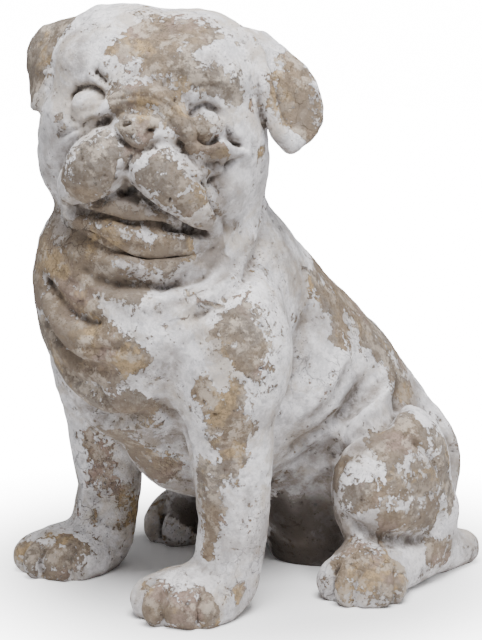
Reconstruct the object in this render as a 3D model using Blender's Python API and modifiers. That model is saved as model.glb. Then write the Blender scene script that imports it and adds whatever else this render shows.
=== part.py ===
"""A seated pug for the garden, cast in one piece of cement, with worn whitewash.

Lengths are metres and +Z is up. The pug looks along -Y, with its left side at +X.
The sculpture is free form, so its pose and its carving are given in hundredths of its
height: a point (17, -10, 3) is 17 hundredths to the left, 10 forward and 3 up.
Lumps of clay are set out as Blender primitives and joined by a voxel remesh. Each vertex
is then pressed onto the smoothly blended skin of the lumps, with the folds pressed in.
"""

import math

import bmesh
import bpy
import numpy as np
from mathutils import Euler, Matrix, Vector

# Driving dimension, in metres
HEIGHT = 0.42

# Modelling settings, in hundredths of the height unless the name says otherwise
ROUGH_VOXEL = 1.1
FINE_VOXEL = 0.6
TRIANGLE_BUDGET = 9400
CREASE = 0.75
REACH = 3.0
SLOPE_STEP = 0.05
FAR = 1000.0

# The head's own frame: x to the dog's left, -y out of the face, +z to the crown
HEAD_CENTRE = (-2, -7.1, 79.8)
HEAD_PITCH, HEAD_ROLL, HEAD_YAW = 2.0, 6.5, 39.0

CEMENT = {"colour": (0.62, 0.60, 0.57, 1.0), "roughness": 0.9, "metallic": 0.0}

SIDES = (-1, 1)


def turned(pitch, roll, yaw):
    """A rotation from three angles in degrees, about X, then Y, then Z."""
    x_turn = Matrix.Rotation(math.radians(pitch), 3, "X")
    y_turn = Matrix.Rotation(math.radians(roll), 3, "Y")
    z_turn = Matrix.Rotation(math.radians(yaw), 3, "Z")
    return np.array(z_turn @ x_turn @ y_turn)


HEAD_TURN = turned(HEAD_PITCH, HEAD_ROLL, HEAD_YAW)


def curve_through(path, steps):
    """Points along a smooth curve through the path's points, that many to each leg."""
    path = np.array(path, float)
    before = np.vstack([2 * path[0] - path[1], path[:-2]])
    after = np.vstack([path[2:], 2 * path[-1] - path[-2]])
    legs = []
    for b, start, end, a in zip(before, path[:-1], path[1:], after):
        t = np.linspace(0, 1, steps, endpoint=False)[:, None]
        curve = 2 * start + (end - b) * t + (2 * b - 5 * start + 4 * end - a) * t**2
        legs.append((curve + (3 * start - b - 3 * end + a) * t**3) / 2)
    return np.vstack([*legs, path[-1:]])


class Ball:
    """An ellipsoid of clay."""

    def __init__(self, centre, radii, turn=(0, 0, 0), fillet=2.0):
        self.centre = np.array(centre, float)
        self.radii = np.array(radii, float)
        self.axes = turned(*turn)
        self.fillet = fillet

    def place(self, axes, origin):
        self.centre = axes @ self.centre + origin
        self.axes = axes @ self.axes

    def box(self):
        half = np.abs(self.axes) @ self.radii
        return self.centre - half, self.centre + half

    def distance(self, points):
        local = (points - self.centre) @ self.axes
        near = np.linalg.norm(local / self.radii, axis=1)
        steep = np.linalg.norm(local / self.radii**2, axis=1)
        return near * (near - 1) / np.maximum(steep, 1e-9)

    def add_primitive(self, clay):
        shape = Matrix(self.axes.tolist()).to_4x4() @ Matrix.Diagonal((*self.radii, 1))
        matrix = Matrix.Translation(Vector(self.centre)) @ shape
        bmesh.ops.create_icosphere(clay, subdivisions=3, radius=1, matrix=matrix)


class Roll:
    """A rolled length of clay along a path, with a radius at each of its points."""

    def __init__(self, path, radii, fillet=2.0, steps=1):
        radii = np.broadcast_to(np.array(radii, float), len(path))
        at = np.linspace(0, len(path) - 1, steps * (len(path) - 1) + 1)
        self.path = curve_through(path, steps)
        self.radii = np.interp(at, np.arange(len(path)), radii)
        self.fillet = fillet

    def place(self, axes, origin):
        self.path = self.path @ axes.T + origin

    def box(self):
        half = self.radii[:, None]
        return (self.path - half).min(0), (self.path + half).max(0)

    def distance(self, points):
        best = np.full(len(points), FAR)
        for i in range(len(self.path) - 1):
            start, run = self.path[i], self.path[i + 1] - self.path[i]
            share = np.clip((points - start) @ run / (run @ run), 0, 1)
            radius = self.radii[i] + share * (self.radii[i + 1] - self.radii[i])
            gap = np.linalg.norm(points - start - share[:, None] * run, axis=1) - radius
            best = np.minimum(best, gap)
        return best

    def add_primitive(self, clay):
        for i in range(len(self.path) - 1):
            run = np.linalg.norm(self.path[i + 1] - self.path[i])
            steps = max(2, int(run / (0.5 * min(self.radii[i], self.radii[i + 1]))))
            for share in np.linspace(0, 1, steps):
                centre = Vector(self.path[i] + share * (self.path[i + 1] - self.path[i]))
                radius = self.radii[i] + share * (self.radii[i + 1] - self.radii[i])
                bmesh.ops.create_icosphere(
                    clay, subdivisions=2, radius=radius, matrix=Matrix.Translation(centre)
                )


class Flap:
    """A sheet of clay between two edges, with a rounded rim."""

    def __init__(self, front, back, radius, fillet=1.0, steps=2):
        self.front = curve_through(front, steps)
        self.back = curve_through(back, steps)
        self.radius = radius
        self.fillet = fillet

    def place(self, axes, origin):
        self.front = self.front @ axes.T + origin
        self.back = self.back @ axes.T + origin

    def box(self):
        corners = np.vstack([self.front, self.back])
        return corners.min(0) - self.radius, corners.max(0) + self.radius

    def triangles(self):
        for i in range(len(self.front) - 1):
            yield self.front[i], self.back[i], self.front[i + 1]
            yield self.back[i], self.back[i + 1], self.front[i + 1]

    def distance(self, points):
        best = np.full(len(points), FAR)
        for a, b, c in self.triangles():
            normal = np.cross(b - a, c - a)
            within = np.ones(len(points), bool)
            for start, end in ((a, b), (b, c), (c, a)):
                run = end - start
                share = np.clip((points - start) @ run / (run @ run), 0, 1)
                gap = np.linalg.norm(points - start - share[:, None] * run, axis=1)
                best = np.minimum(best, gap)
                within &= (points - start) @ np.cross(normal, run) > 0
            flat = np.abs((points - a) @ normal) / np.linalg.norm(normal)
            best[within] = np.minimum(best[within], flat[within])
        return best - self.radius

    def add_primitive(self, clay):
        for front, back in zip(self.front, self.back):
            steps = max(2, int(np.linalg.norm(back - front) / self.radius))
            for share in np.linspace(0, 1, steps):
                matrix = Matrix.Translation(Vector(front + share * (back - front)))
                bmesh.ops.create_icosphere(clay, subdivisions=2, radius=self.radius, matrix=matrix)


class Stroke:
    """A tool drawn over the skin along a path: a positive depth presses a groove, a
    negative one raises a ridge. It fades out towards both ends."""

    def __init__(self, path, width, depth, fade=0.5):
        self.path = np.array(path, float)
        self.width = width
        self.depth = depth
        self.fade = fade

    def place(self, axes, origin):
        self.path = self.path @ axes.T + origin

    def lay(self, field):
        """Runs a smooth curve through the path's points and rests it on the skin."""
        legs = np.linalg.norm(np.diff(self.path, axis=0), axis=1)
        laid = curve_through(self.path, max(2, int(legs.max() / self.width)))
        self.samples = onto_skin(laid, field, passes=6)

    def box(self):
        return self.samples.min(0), self.samples.max(0)

    def press(self, points):
        """How deep the tool goes in at each of these points."""
        steps = len(self.samples) - 1
        nearest = np.full(len(points), FAR)
        along = np.zeros(len(points))
        for i in range(steps):
            start, run = self.samples[i], self.samples[i + 1] - self.samples[i]
            share = np.clip((points - start) @ run / max(run @ run, 1e-9), 0, 1)
            gap = np.linalg.norm(points - start - share[:, None] * run, axis=1)
            closer = gap < nearest
            nearest[closer] = gap[closer]
            along[closer] = (i + share[closer]) / steps
        strength = np.clip(np.minimum(along, 1 - along) / max(self.fade / 2, 1e-6), 0, 1)
        strength = strength * strength * (3 - 2 * strength)
        return self.depth * strength * np.exp(-((nearest / self.width) ** 2))


def close_to(form, points, margin):
    low, high = form.box()
    return np.flatnonzero(((points > low - margin) & (points < high + margin)).all(1))


def blended(field, distance, fillet):
    """The union of two fields, with a fillet of about that radius where they meet."""
    overlap = np.maximum(fillet - np.abs(field - distance), 0) / max(fillet, 1e-6)
    return np.minimum(field, distance) - overlap * overlap * fillet / 4


def skin_field(lumps):
    """A function of points: about the distance to the skin, and negative inside."""

    def field(points):
        found = np.full(len(points), FAR)
        for lump in lumps:
            close = close_to(lump, points, REACH + lump.fillet)
            found[close] = blended(found[close], lump.distance(points[close]), lump.fillet)
        return found

    return field


def slope_of(field, points):
    here = field(points)
    steps = [field(points + SLOPE_STEP * step) - here for step in np.eye(3)]
    return here, np.stack(steps, axis=1) / SLOPE_STEP


def onto_skin(points, field, passes):
    """Moves points down the field's slope until they lie on the skin."""
    points = points.copy()
    for _ in range(passes):
        here, slope = slope_of(field, points)
        steep = np.maximum((slope * slope).sum(1), 0.25)
        move = np.clip(-here / steep, -REACH / 2, REACH / 2)
        points += move[:, None] * slope
    return points


def carved(points, field, strokes):
    """Moves points on the skin in or out, as deep as the strokes go."""
    _, slope = slope_of(field, points)
    outward = slope / np.maximum(np.linalg.norm(slope, axis=1), 1e-6)[:, None]
    depth = np.zeros(len(points))
    for stroke in strokes:
        close = close_to(stroke, points, 2.5 * stroke.width)
        depth[close] += stroke.press(points[close])
    return points - depth[:, None] * outward


def head_part(*forms):
    """Forms given in the head's frame, moved to where the head is."""
    for form in forms:
        form.place(HEAD_TURN, np.array(HEAD_CENTRE))
    return list(forms)


def torso():
    return [
        Roll(
            [(-4, 0, 70), (-5, 2, 61), (-5, 8, 51), (-5, 18, 39.5), (-4, 29.5, 29.5), (-3, 39, 21)],
            [13, 14, 17, 18.5, 18.5, 17],
            fillet=4,
        ),
        Ball((-5, -4, 48), (21.3, 20, 16), fillet=5),
        Ball((-5, -4, 57), (21, 16, 16), turn=(0, 0, 50), fillet=5),
        Ball((-6, -9, 38), (13, 10, 11), fillet=5),
        Ball((-5, 8, 28.6), (14, 18, 14), fillet=4),
        Ball((-3, 36, 15), (15, 17, 17), fillet=4),
        Ball((-2, 32, 6), (10, 11, 12), fillet=4),
    ]


def front_leg(side):
    x = 17.1 * side - 5
    return [
        Ball((x + 1.5 * side, -3, 44), (8.5, 10, 13), fillet=4),
        Roll([
            (x, -4, 36), (x, -2.8, 26), (x, -2.2, 15), (x - 0.7, -3.5, 6),
        ], [7.8, 7, 5.8, 5.8], fillet=3),
        Ball((x - 2.4, -9, 2.8), (8.2, 9.2, 5.6), fillet=2),
        Ball((x - 6.6, -14.6, 2.8), (3.2, 3.6, 3.6), fillet=1.5),
        Ball((x - 2, -15.6, 3), (3.6, 3.8, 3.8), fillet=1.5),
        Ball((x + 2.4, -12.4, 2.8), (3.2, 3.8, 3.6), fillet=1.5),
    ]


def hind_leg(side):
    x = 20 * side - 2.5
    knee = 23 if side > 0 else 20
    return [
        Ball((x, 30, 18.5), (9.5, 11.5, 13), turn=(-15, 0, 0), fillet=4),
        Ball((x + 2 * side, knee, 17), (6, 6.5, 10.5), fillet=3),
        Ball((x + side, 36, 11), (7, 7, 8), fillet=3),
        Roll([
            (x + 1.5 * side, 46.8, 2.8), (x + 2.5 * side, 34, 5), (x + 4.5 * side, 20, 4),
        ], [3.4, 5.4, 5.5], fillet=3),
        Ball((x + 4.6 * side, 19, 3.2), (7.2, 7.2, 5.8), fillet=2),
        Ball((x + 1.5 * side, 14.4, 3), (3.2, 3, 3.6), fillet=1.5),
        Ball((x + 6 * side, 14.6, 3), (3.4, 3.2, 3.8), fillet=1.5),
        Ball((x + 9.4 * side, 18.6, 2.8), (2.8, 3.4, 3.4), fillet=1.5),
    ]


def tail():
    return [
        Roll(
            [(9, 45.5, 27), (12, 47, 23.5), (13.3, 48.6, 18.5), (13.3, 48.2, 13), (12.5, 47.8, 9.5)],
            [3, 3, 2.8, 2.5, 2.2],
            fillet=1,
            steps=4,
        ),
    ]


def right_ear():
    front = [(-10.6, -1, 17.2), (-13, -2.4, 15.2), (-15, -3.6, 11.6), (-16.6, -4, 6.8), (-18.4, -2.8, 2)]
    back = [(-15, 4, 15.4), (-20.8, 5, 13.2), (-22.8, 5, 9.6), (-22.2, 4.4, 5.4), (-20.6, 1, 1.6)]
    return [Roll(front, 1.5, fillet=1, steps=3), Flap(front, back, 1.3, fillet=0.8)]


def left_ear():
    front = [
        (12, -2, 17), (15, -3, 15), (17.4, -3.6, 11), (19.2, -3.6, 6.4), (21.2, -3.2, 2.4),
        (23, -2, 0.4),
    ]
    back = [
        (15.4, 4, 16.6), (20.6, 4, 13.4), (24.4, 4, 9.9), (26, 3.8, 6.2), (25.8, 1.8, 2.8),
        (23.8, -1, 0.4),
    ]
    return [Roll(front, 1.7, fillet=0.8, steps=3), Flap(front, back, 1.1, fillet=0.8)]


def skull():
    forms = [Ball((0.5, 1, 3.5), (17.5, 15, 16), fillet=4)]
    for side in SIDES:
        forms += [
            Ball((7.5 * side, 1, 9.2), (10, 13, 10), fillet=4),
            Ball((8.5 * side, -7.6, 10), (6.5, 4.5, 4), fillet=4),
            Ball((9.5 * side, -4.4, 0), (8.4, 8, 9), fillet=3),
            Ball((10.8 * side, 0, -5.5), (8.4, 9, 9.6), fillet=4),
        ]
    return forms


def eyes():
    return [
        Ball((-8.7, -11, 4), (3.1, 3, 3.1), fillet=0.3),
        Ball((10.6, -10.9, 3.2), (2.9, 2.9, 2.9), fillet=0.3),
        Ball((-12.4, -9.2, 0.4), (3.2, 2.6, 2), turn=(0, 25, 0), fillet=1.5),
        Ball((11.4, -10.9, -0.6), (3.8, 2.8, 2.3), fillet=1),
        Ball((15, -8, -1.2), (2.4, 2.4, 2.2), fillet=1),
    ]


def nose():
    return [
        Ball((1, -13.4, 1.6), (4.6, 4, 3.2), fillet=1.5),
        Ball((-2.2, -13, 0.8), (2.2, 2.8, 2), fillet=1),
        Ball((4.2, -13, 0.6), (2.2, 2.6, 2), fillet=1),
        Ball((1, -14.2, -0.9), (2.8, 3, 2.4), fillet=1.5),
    ]


def nose_roll():
    path = [
        (-14.6, -8.8, -6), (-10.2, -12.2, -0.4), (-5.4, -14, 3.8), (-1.8, -14.1, 6.1),
        (1.6, -13.9, 6.7),
    ]
    path += [(5.1, -13.9, 5), (7.9, -13.5, 2.1), (9.8, -12.9, -1.1), (11.2, -12.2, -4.4)]
    return [Roll(path, [0.9, 1, 1.2, 1.4, 1.4, 1.5, 1.5, 1.3, 0.9], fillet=1.3, steps=3)]


def muzzle():
    right_lobe = [(-4.5, -13.2, -3.4), (-6.3, -12.8, -6), (-9, -11, -9.2), (-11, -9.4, -11.6)]
    left_lobe = [(3.5, -13.2, -4.4), (7, -12.2, -7.2), (10.2, -10.4, -10.5), (12.4, -9, -13)]
    return [
        Ball((1, -7.5, -5), (8.5, 6.5, 8), fillet=2),
        Ball((-0.3, -13, -3.8), (3, 4, 2.8), fillet=1),
        Roll(right_lobe, [4.6, 5.2, 3.8, 1.9], fillet=0.8, steps=3),
        Roll(left_lobe, [4.7, 4.9, 3.7, 1.7], fillet=0.8, steps=3),
        Ball((14.2, -6.8, -7.4), (2.8, 3.2, 4.2), fillet=2),
    ]


def jaw():
    lip = [
        (-10.8, -9, -14), (-6.6, -10.9, -14.9), (-1.5, -12, -15.8), (3.5, -11.8, -16.4),
        (8, -11, -16), (12, -9, -15.2),
    ]
    return [
        Ball((0.6, -10.2, -11.6), (10.4, 4.4, 3.6), fillet=1),
        Ball((9.6, -8.6, -13.6), (4, 2.6, 2.2), fillet=1),
        Roll([
            (-6.6, -11.6, -12), (-3, -12.8, -12), (0.4, -13.2, -12.8),
        ], [0.9, 1.2, 1], fillet=0.6, steps=2),
        Roll(lip, [1.3, 2, 2.7, 2.9, 2.4, 1.3], fillet=0.6, steps=3),
        Ball((1, -4, -15), (13, 8, 4.6), fillet=3),
    ]


def head():
    face = eyes() + nose() + nose_roll() + muzzle() + jaw()
    return head_part(*skull(), *face, *right_ear(), *left_ear())


def lumps_of_clay():
    forms = torso() + tail() + head()
    for side in SIDES:
        forms += front_leg(side) + hind_leg(side)
    return forms


def chest_folds():
    throat = [(-8.3, -21.6, 63.3), (-3.1, -21.9, 60), (2.4, -20, 58.4), (10, -12.8, 58.4)]
    throat += [(12.3, -6, 60.4), (12.4, 2.4, 67.8)]
    under_throat = [
        (-5.2, -22.1, 60.8), (1.6, -21, 57), (8.4, -16.7, 56.1), (13, -9.6, 57.4), (12, 2.3, 66.1),
    ]
    collar = [(12.4, -14.6, 51.5), (15.4, -12.2, 52), (17.1, -5.6, 56), (13.4, 2.6, 60), (9.2, 7.5, 66.9)]
    breast = [
        (-14, -22, 56.5), (-9.8, -23.8, 54.2), (-4.7, -24, 50.9), (0.7, -23.3, 49.5),
        (5, -21.5, 50.4),
    ]
    bib = [
        (-14, -21, 52), (-10.7, -23.6, 48.9), (-5.9, -23.3, 43.9), (-1.1, -22.3, 42.1),
        (7, -19.2, 42.5),
    ]
    return [
        Stroke(throat, 2.2, -1.5),
        Stroke(under_throat, 1.3, 1.9),
        Stroke([(2, -21, 53.5), (9, -17, 52.8), (14.6, -9.6, 54), (15.5, -2, 58.6)], 2.2, -1.3),
        Stroke(collar, 1.4, 1.8),
        Stroke(breast, 1.3, 1.7),
        Stroke([(-14, -22, 53), (-8, -24, 49.5), (-3, -23.8, 46), (3, -22, 45.5)], 2.2, -1.2),
        Stroke(bib, 1.4, 1.5),
        Stroke([(-11, -20.1, 38.8), (-5.6, -18.1, 32.8), (2.1, -15.2, 32.3), (6, -13.5, 34.5)], 1.5, 1.9),
        Stroke([(-10, -21, 41.4), (-5.4, -19.8, 36.6), (1.6, -17.6, 35.4), (6.4, -15.6, 37.6)], 2, -0.9),
        Stroke([(5, -14.4, 38), (7.4, -12, 31), (8.4, -9, 24)], 1.6, 1.2),
        Stroke([(-21.2, -11.5, 33), (-17, -12, 29), (-12, -9, 24), (-8, -4, 18)], 1.5, 1.2),
        Stroke([(16.5, -12.1, 50.3), (14.4, -14.4, 45.9), (10.2, -14.5, 39.6), (6.1, -12.8, 33.9)], 2, 1),
    ]


def flank_folds():
    shoulder = [(11.3, 17.6, 50.3), (12.8, 12.4, 44.7), (11.9, 10.8, 37), (12, 8, 32)]
    belly = [
        (12.9, 29.8, 38.3), (14.1, 26.7, 34.4), (14, 23.3, 31.5), (12.3, 20.5, 25.2), (9.2, 18, 22),
        (5.8, 14, 20.3),
    ]
    thigh = [
        (10.1, 41, 34.5), (14.9, 35.4, 32.1), (18.9, 25.2, 29.4), (15, 20.8, 24.5),
        (10.4, 21.7, 18.7), (5, 20.1, 14.8),
    ]
    between = [
        (12, 35.5, 36.8), (15.4, 30.4, 33.4), (16.4, 23.2, 28.8), (12.6, 20.6, 23.2),
        (7.3, 18.6, 18.6),
    ]
    ahead = [(12.2, 24.5, 43.6), (13.7, 19.5, 37.9), (12.1, 15.6, 31.6), (9.6, 12.8, 26.8)]
    strokes = []
    for path, width, depth in (
        (shoulder, 2, 1.6),
        (ahead, 2.6, -1.4),
        (belly, 1.7, 1.9),
        (between, 2.2, -1.8),
        (thigh, 1.6, 1.6),
    ):
        strokes.append(Stroke(path, width, depth))
        strokes.append(Stroke([(-8 - x, y, z) for x, y, z in path], width, 0.7 * depth))
    under_knee = [
        (18.4, 16.6, 15.5), (20.7, 17.2, 12.5), (24.1, 20.3, 10.7), (25.2, 28.4, 8.8),
        (25.6, 34.6, 9.4),
    ]
    strokes.append(Stroke(under_knee, 1.2, 1.4))
    strokes.append(Stroke([(-8 - x, y, z) for x, y, z in under_knee], 1.2, 1))
    return strokes


def toe_gaps():
    """Each gap runs down the front of a paw and on below the ground."""
    tops = []
    for side, x in ((1, 12.1), (-1, -22.1)):
        tops += [(x - 4.6, -17, side), (x, -16.8, side), (x + 5, -13, side)]
    for side, x in ((1, 17.5), (-1, -22.5)):
        tops += [(x + 3.4 * side, 12.4, side), (x + 8.2 * side, 14, side), (x + 11.4 * side, 20, side)]
    gaps = []
    for x, y, side in tops:
        gaps.append(Stroke([(x, y + 2, 8), (x, y - 1, 4), (x, y - 0.6, -3)], 0.9, 1.5, fade=0.6))
    return gaps


def eye_creases():
    return [
        Stroke([
            (-12, -12, 3.2), (-11.3, -12.1, 5.6), (-9, -12.9, 6.8), (-6.7, -13.2, 6.2),
            (-5.6, -13.6, 4.4),
        ], CREASE, 1.1),
        Stroke([
            (8, -13.6, 3.2), (8.5, -13, 5), (10.2, -12.6, 6), (12.1, -12, 5.4), (13.2, -11.4, 3.4),
        ], CREASE, 1.1),
        Stroke([
            (-14.1, -10.9, -2.7), (-11.4, -12.4, -1), (-8.4, -13.6, 1), (-6, -14.6, 2.6),
        ], CREASE, 0.6),
        Stroke([(8.2, -13.6, 2), (10, -13.4, 0.5), (12, -12.6, 0.1), (13.6, -11.6, 1.4)], CREASE, 0.7),
        Stroke([(13.4, -11.6, 3.4), (14.4, -11, 2), (15.6, -10.2, 0.6), (17, -8.4, 0)], CREASE, 0.9),
        Stroke([
            (10.2, -14.1, -2.2), (11.9, -13.2, -3.2), (14.1, -11.3, -3.6), (15.9, -10, -2.4),
            (16.8, -8.8, -0.8),
        ], CREASE, 0.7),
        Stroke([(-8.2, -13.4, 9.8), (-6.7, -13.5, 8.5), (-5.3, -13.4, 7.4)], CREASE, 1),
        Stroke([(7, -13.5, 7.3), (8.9, -13.4, 8.8), (11.2, -12.7, 9.2), (13.6, -11.3, 8)], CREASE, 0.5),
    ]


def nose_creases():
    return [
        Stroke([(-1.4, -16.7, 2.4), (-1.2, -16.9, 1.7)], 0.75, 1.7, fade=0),
        Stroke([(2.9, -17, 2), (3.2, -16.9, 1.2)], 0.75, 1.7, fade=0),
        Stroke([
            (-3.8, -15, 1), (-1.6, -16.3, -1), (1, -17, -1.9), (3.2, -16.6, -0.9), (5, -15.6, 0.6),
        ], CREASE, 0.7),
        Stroke([(0.2, -16.9, -2.1), (-0.5, -16.6, -4), (-0.7, -15.2, -6.4)], CREASE, 1.1),
    ]


def mouth_creases():
    under_right_lobe = [
        (-0.6, -13.5, -7.8), (-3.1, -14.4, -9.9), (-5.8, -13.5, -11.7), (-8.8, -12.4, -12.7),
        (-12, -9.8, -13.1),
    ]
    under_left_lobe = [
        (-0.6, -13.4, -7.8), (2.3, -14.6, -9.7), (5.7, -14.4, -11.9), (9.3, -12.4, -13.6),
        (13.2, -9.4, -14.4),
    ]
    slit = [
        (-11.6, -10.1, -13.2), (-7.1, -12.1, -13), (-2.9, -13.8, -13.4), (0, -14.2, -13.8),
        (4.4, -14.2, -13.6), (8, -12.6, -14.1),
    ]
    return [
        Stroke(under_right_lobe, CREASE, 1),
        Stroke(under_left_lobe, CREASE, 1),
        Stroke([(-0.8, -13.4, -8.4), (-0.3, -14, -9.2)], 1.2, 1.8, fade=0),
        Stroke(slit + [(13, -9.6, -14.5)], CREASE, 1),
        Stroke([(8.6, -12.2, -14.2), (11, -11.2, -14.4), (13, -9.6, -14.5)], CREASE, 0.7),
        Stroke([
            (-9.5, -11.6, -15.4), (-6.5, -12.8, -16.9), (-2.6, -13.6, -18), (1.7, -13, -19),
            (6.6, -12.6, -18.3), (11.3, -11.4, -16.6),
        ], CREASE, 0.9),
        Stroke([
            (11.4, -13.1, -4.4), (12.2, -13, -7), (13.1, -12.2, -9.7), (14, -9.4, -12.6),
        ], CREASE, 1.2),
    ]


def ear_creases():
    return [
        Stroke([(16, -3, 15.4), (19.2, -3, 10.8), (21, -2.8, 6.4), (22.8, -2.4, 2.4)], 1, 0.8),
        Stroke([(-14.6, -2.6, 15), (-17, -2.6, 11.6), (-18.4, -2.4, 7.6), (-19.4, -1.4, 3.6)], 0.9, 0.9),
        Stroke([(-10.6, -3.6, 16.6), (-12.8, -5.2, 12.6), (-14.6, -6.2, 8), (-16.4, -6, 3)], 1.1, 1),
    ]


def head_creases():
    return head_part(*eye_creases(), *nose_creases(), *mouth_creases(), *ear_creases())


def carving():
    return chest_folds() + flank_folds() + toe_gaps() + head_creases()


def new_object(name, mesh):
    """An object in a collection of the same name."""
    obj = bpy.data.objects.new(name, mesh)
    collection = bpy.data.collections.new(name)
    bpy.context.scene.collection.children.link(collection)
    collection.objects.link(obj)
    return obj


def with_modifiers_applied(obj):
    """The object's evaluated mesh takes the place of its mesh and modifiers."""
    graph = bpy.context.evaluated_depsgraph_get()
    mesh = bpy.data.meshes.new_from_object(obj.evaluated_get(graph))
    obj.modifiers.clear()
    obj.data = mesh
    return obj


def voxel_remeshed(obj, voxel):
    modifier = obj.modifiers.new("one_skin", "REMESH")
    modifier.mode = "VOXEL"
    modifier.voxel_size = voxel
    return with_modifiers_applied(obj)


def reshaped(obj, move):
    """Puts the mesh's vertices where a function of their positions says."""
    mesh = obj.data
    points = np.empty(len(mesh.vertices) * 3)
    mesh.vertices.foreach_get("co", points)
    mesh.vertices.foreach_set("co", move(points.reshape(-1, 3)).ravel())
    mesh.update()


def modelled(lumps, strokes):
    """One closed skin around all lumps, in hundredths of the height."""
    clay = bmesh.new()
    for lump in lumps:
        lump.add_primitive(clay)
    mesh = bpy.data.meshes.new("clay")
    clay.to_mesh(mesh)
    clay.free()
    obj = voxel_remeshed(new_object("pug_statue", mesh), ROUGH_VOXEL)
    field = skin_field(lumps)
    for stroke in strokes:
        stroke.lay(field)
    reshaped(obj, lambda points: onto_skin(points, field, passes=3))
    voxel_remeshed(obj, FINE_VOXEL)
    reshaped(obj, lambda points: onto_skin(points, field, passes=3))
    reshaped(obj, lambda points: carved(points, field, strokes))
    return obj


def thinned(obj, triangles):
    modifier = obj.modifiers.new("fewer_faces", "DECIMATE")
    obj.data.calc_loop_triangles()
    modifier.ratio = triangles / len(obj.data.loop_triangles)
    modifier.use_collapse_triangulate = True
    return with_modifiers_applied(obj)


def cut_flat_below(obj):
    """Cuts off what is under the ground, and closes the cuts with flat faces."""
    shape = bmesh.new()
    shape.from_mesh(obj.data)
    bmesh.ops.bisect_plane(
        shape,
        geom=shape.verts[:] + shape.edges[:] + shape.faces[:],
        dist=1e-4,
        plane_co=(0, 0, 0),
        plane_no=(0, 0, -1),
        clear_outer=True,
    )
    bmesh.ops.holes_fill(shape, edges=[e for e in shape.edges if e.is_boundary])
    bmesh.ops.recalc_face_normals(shape, faces=shape.faces)
    shape.to_mesh(obj.data)
    shape.free()


def cement():
    material = bpy.data.materials.new("cement")
    material.use_nodes = True
    shader = material.node_tree.nodes["Principled BSDF"]
    shader.inputs["Base Color"].default_value = CEMENT["colour"]
    shader.inputs["Roughness"].default_value = CEMENT["roughness"]
    shader.inputs["Metallic"].default_value = CEMENT["metallic"]
    return material


def to_size(obj):
    """From hundredths of the height to metres, with the origin under the middle."""
    low = np.min([corner[:] for corner in obj.bound_box], axis=0)
    high = np.max([corner[:] for corner in obj.bound_box], axis=0)
    middle = Vector((*(low + high)[:2] / 2, low[2]))
    stretch = HEIGHT / (high - low)[2]
    obj.data.transform(Matrix.Scale(stretch, 4) @ Matrix.Translation(-middle))


def main():
    for obj in list(bpy.data.objects):
        bpy.data.objects.remove(obj)
    pug = modelled(lumps_of_clay(), carving())
    thinned(pug, TRIANGLE_BUDGET)
    cut_flat_below(pug)
    to_size(pug)
    pug.data.materials.append(cement())
    pug.data.shade_smooth()


main()
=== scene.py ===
# %% [markdown]
# # A garden pug, cast in cement and whitewashed
#
# The real thing is one casting: a seated pug, about life size, pressed into a mould from
# a clay model and given a coat of whitewash that has worn through on all that stands out.
# So this lesson follows the sculptor. It sets out lumps of clay, joins them into one skin,
# presses the folds in with a tool, and only then paints, wears and dirties the surface and
# paints shade into its hollows and undersides.
# Lengths of the sculpture are in hundredths of its height, as in a proportional drawing.

# %% The frame
import math

import bpy
import numpy as np
from mathutils import Matrix, Vector, noise


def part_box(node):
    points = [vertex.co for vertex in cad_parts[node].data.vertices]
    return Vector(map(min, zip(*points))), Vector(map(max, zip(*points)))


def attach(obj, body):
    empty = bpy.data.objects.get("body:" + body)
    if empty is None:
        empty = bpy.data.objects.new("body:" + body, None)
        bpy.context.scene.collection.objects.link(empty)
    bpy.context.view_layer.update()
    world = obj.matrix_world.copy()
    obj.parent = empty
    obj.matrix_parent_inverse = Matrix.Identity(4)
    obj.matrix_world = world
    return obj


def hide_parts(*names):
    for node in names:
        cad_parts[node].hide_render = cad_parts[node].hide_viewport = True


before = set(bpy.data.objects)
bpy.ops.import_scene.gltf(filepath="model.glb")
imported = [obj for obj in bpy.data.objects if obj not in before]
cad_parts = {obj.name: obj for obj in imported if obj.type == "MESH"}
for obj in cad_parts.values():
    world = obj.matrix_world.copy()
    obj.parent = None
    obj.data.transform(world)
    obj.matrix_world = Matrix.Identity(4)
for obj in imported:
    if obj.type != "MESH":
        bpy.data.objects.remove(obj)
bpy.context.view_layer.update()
LOW, HIGH = (np.array(corner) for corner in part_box("pug_statue"))
print("The solid is", (1000 * (HIGH - LOW)).round(1), "mm")

# %% [markdown]
# ## Lumps of clay
#
# A figure could be modelled by extruding a cube or by sculpting with brushes. Neither gives
# the same result twice from a script, so each form here is a lump with a place and a size.
# A ball is an ellipsoid. A roll is a sausage with a radius at each point of its path. Both
# can say how far any point is from their surface, which is what lets them blend smoothly.

# %% Turning and curving
FAR = 1000.0
TINY = 1e-9
HEAD_CENTRE = (-2, -7.1, 79.8)
HEAD_PITCH, HEAD_ROLL, HEAD_YAW = 2.0, 6.5, 39.0
SIDES = (-1, 1)


def turned(pitch, roll, yaw):
    """A rotation from three angles in degrees, about X, then Y, then Z."""
    x_turn = Matrix.Rotation(math.radians(pitch), 3, "X")
    y_turn = Matrix.Rotation(math.radians(roll), 3, "Y")
    z_turn = Matrix.Rotation(math.radians(yaw), 3, "Z")
    return np.array(z_turn @ x_turn @ y_turn)


HEAD_TURN = turned(HEAD_PITCH, HEAD_ROLL, HEAD_YAW)


def curve_through(path, steps):
    """Points along a smooth curve through the path's points, that many to each leg."""
    path = np.array(path, float)
    before = np.vstack([2 * path[0] - path[1], path[:-2]])
    after = np.vstack([path[2:], 2 * path[-1] - path[-2]])
    legs = []
    for b, start, end, a in zip(before, path[:-1], path[1:], after):
        t = np.linspace(0, 1, steps, endpoint=False)[:, None]
        curve = 2 * start + (end - b) * t + (2 * b - 5 * start + 4 * end - a) * t**2
        legs.append((curve + (3 * start - b - 3 * end + a) * t**3) / 2)
    return np.vstack([*legs, path[-1:]])


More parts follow.
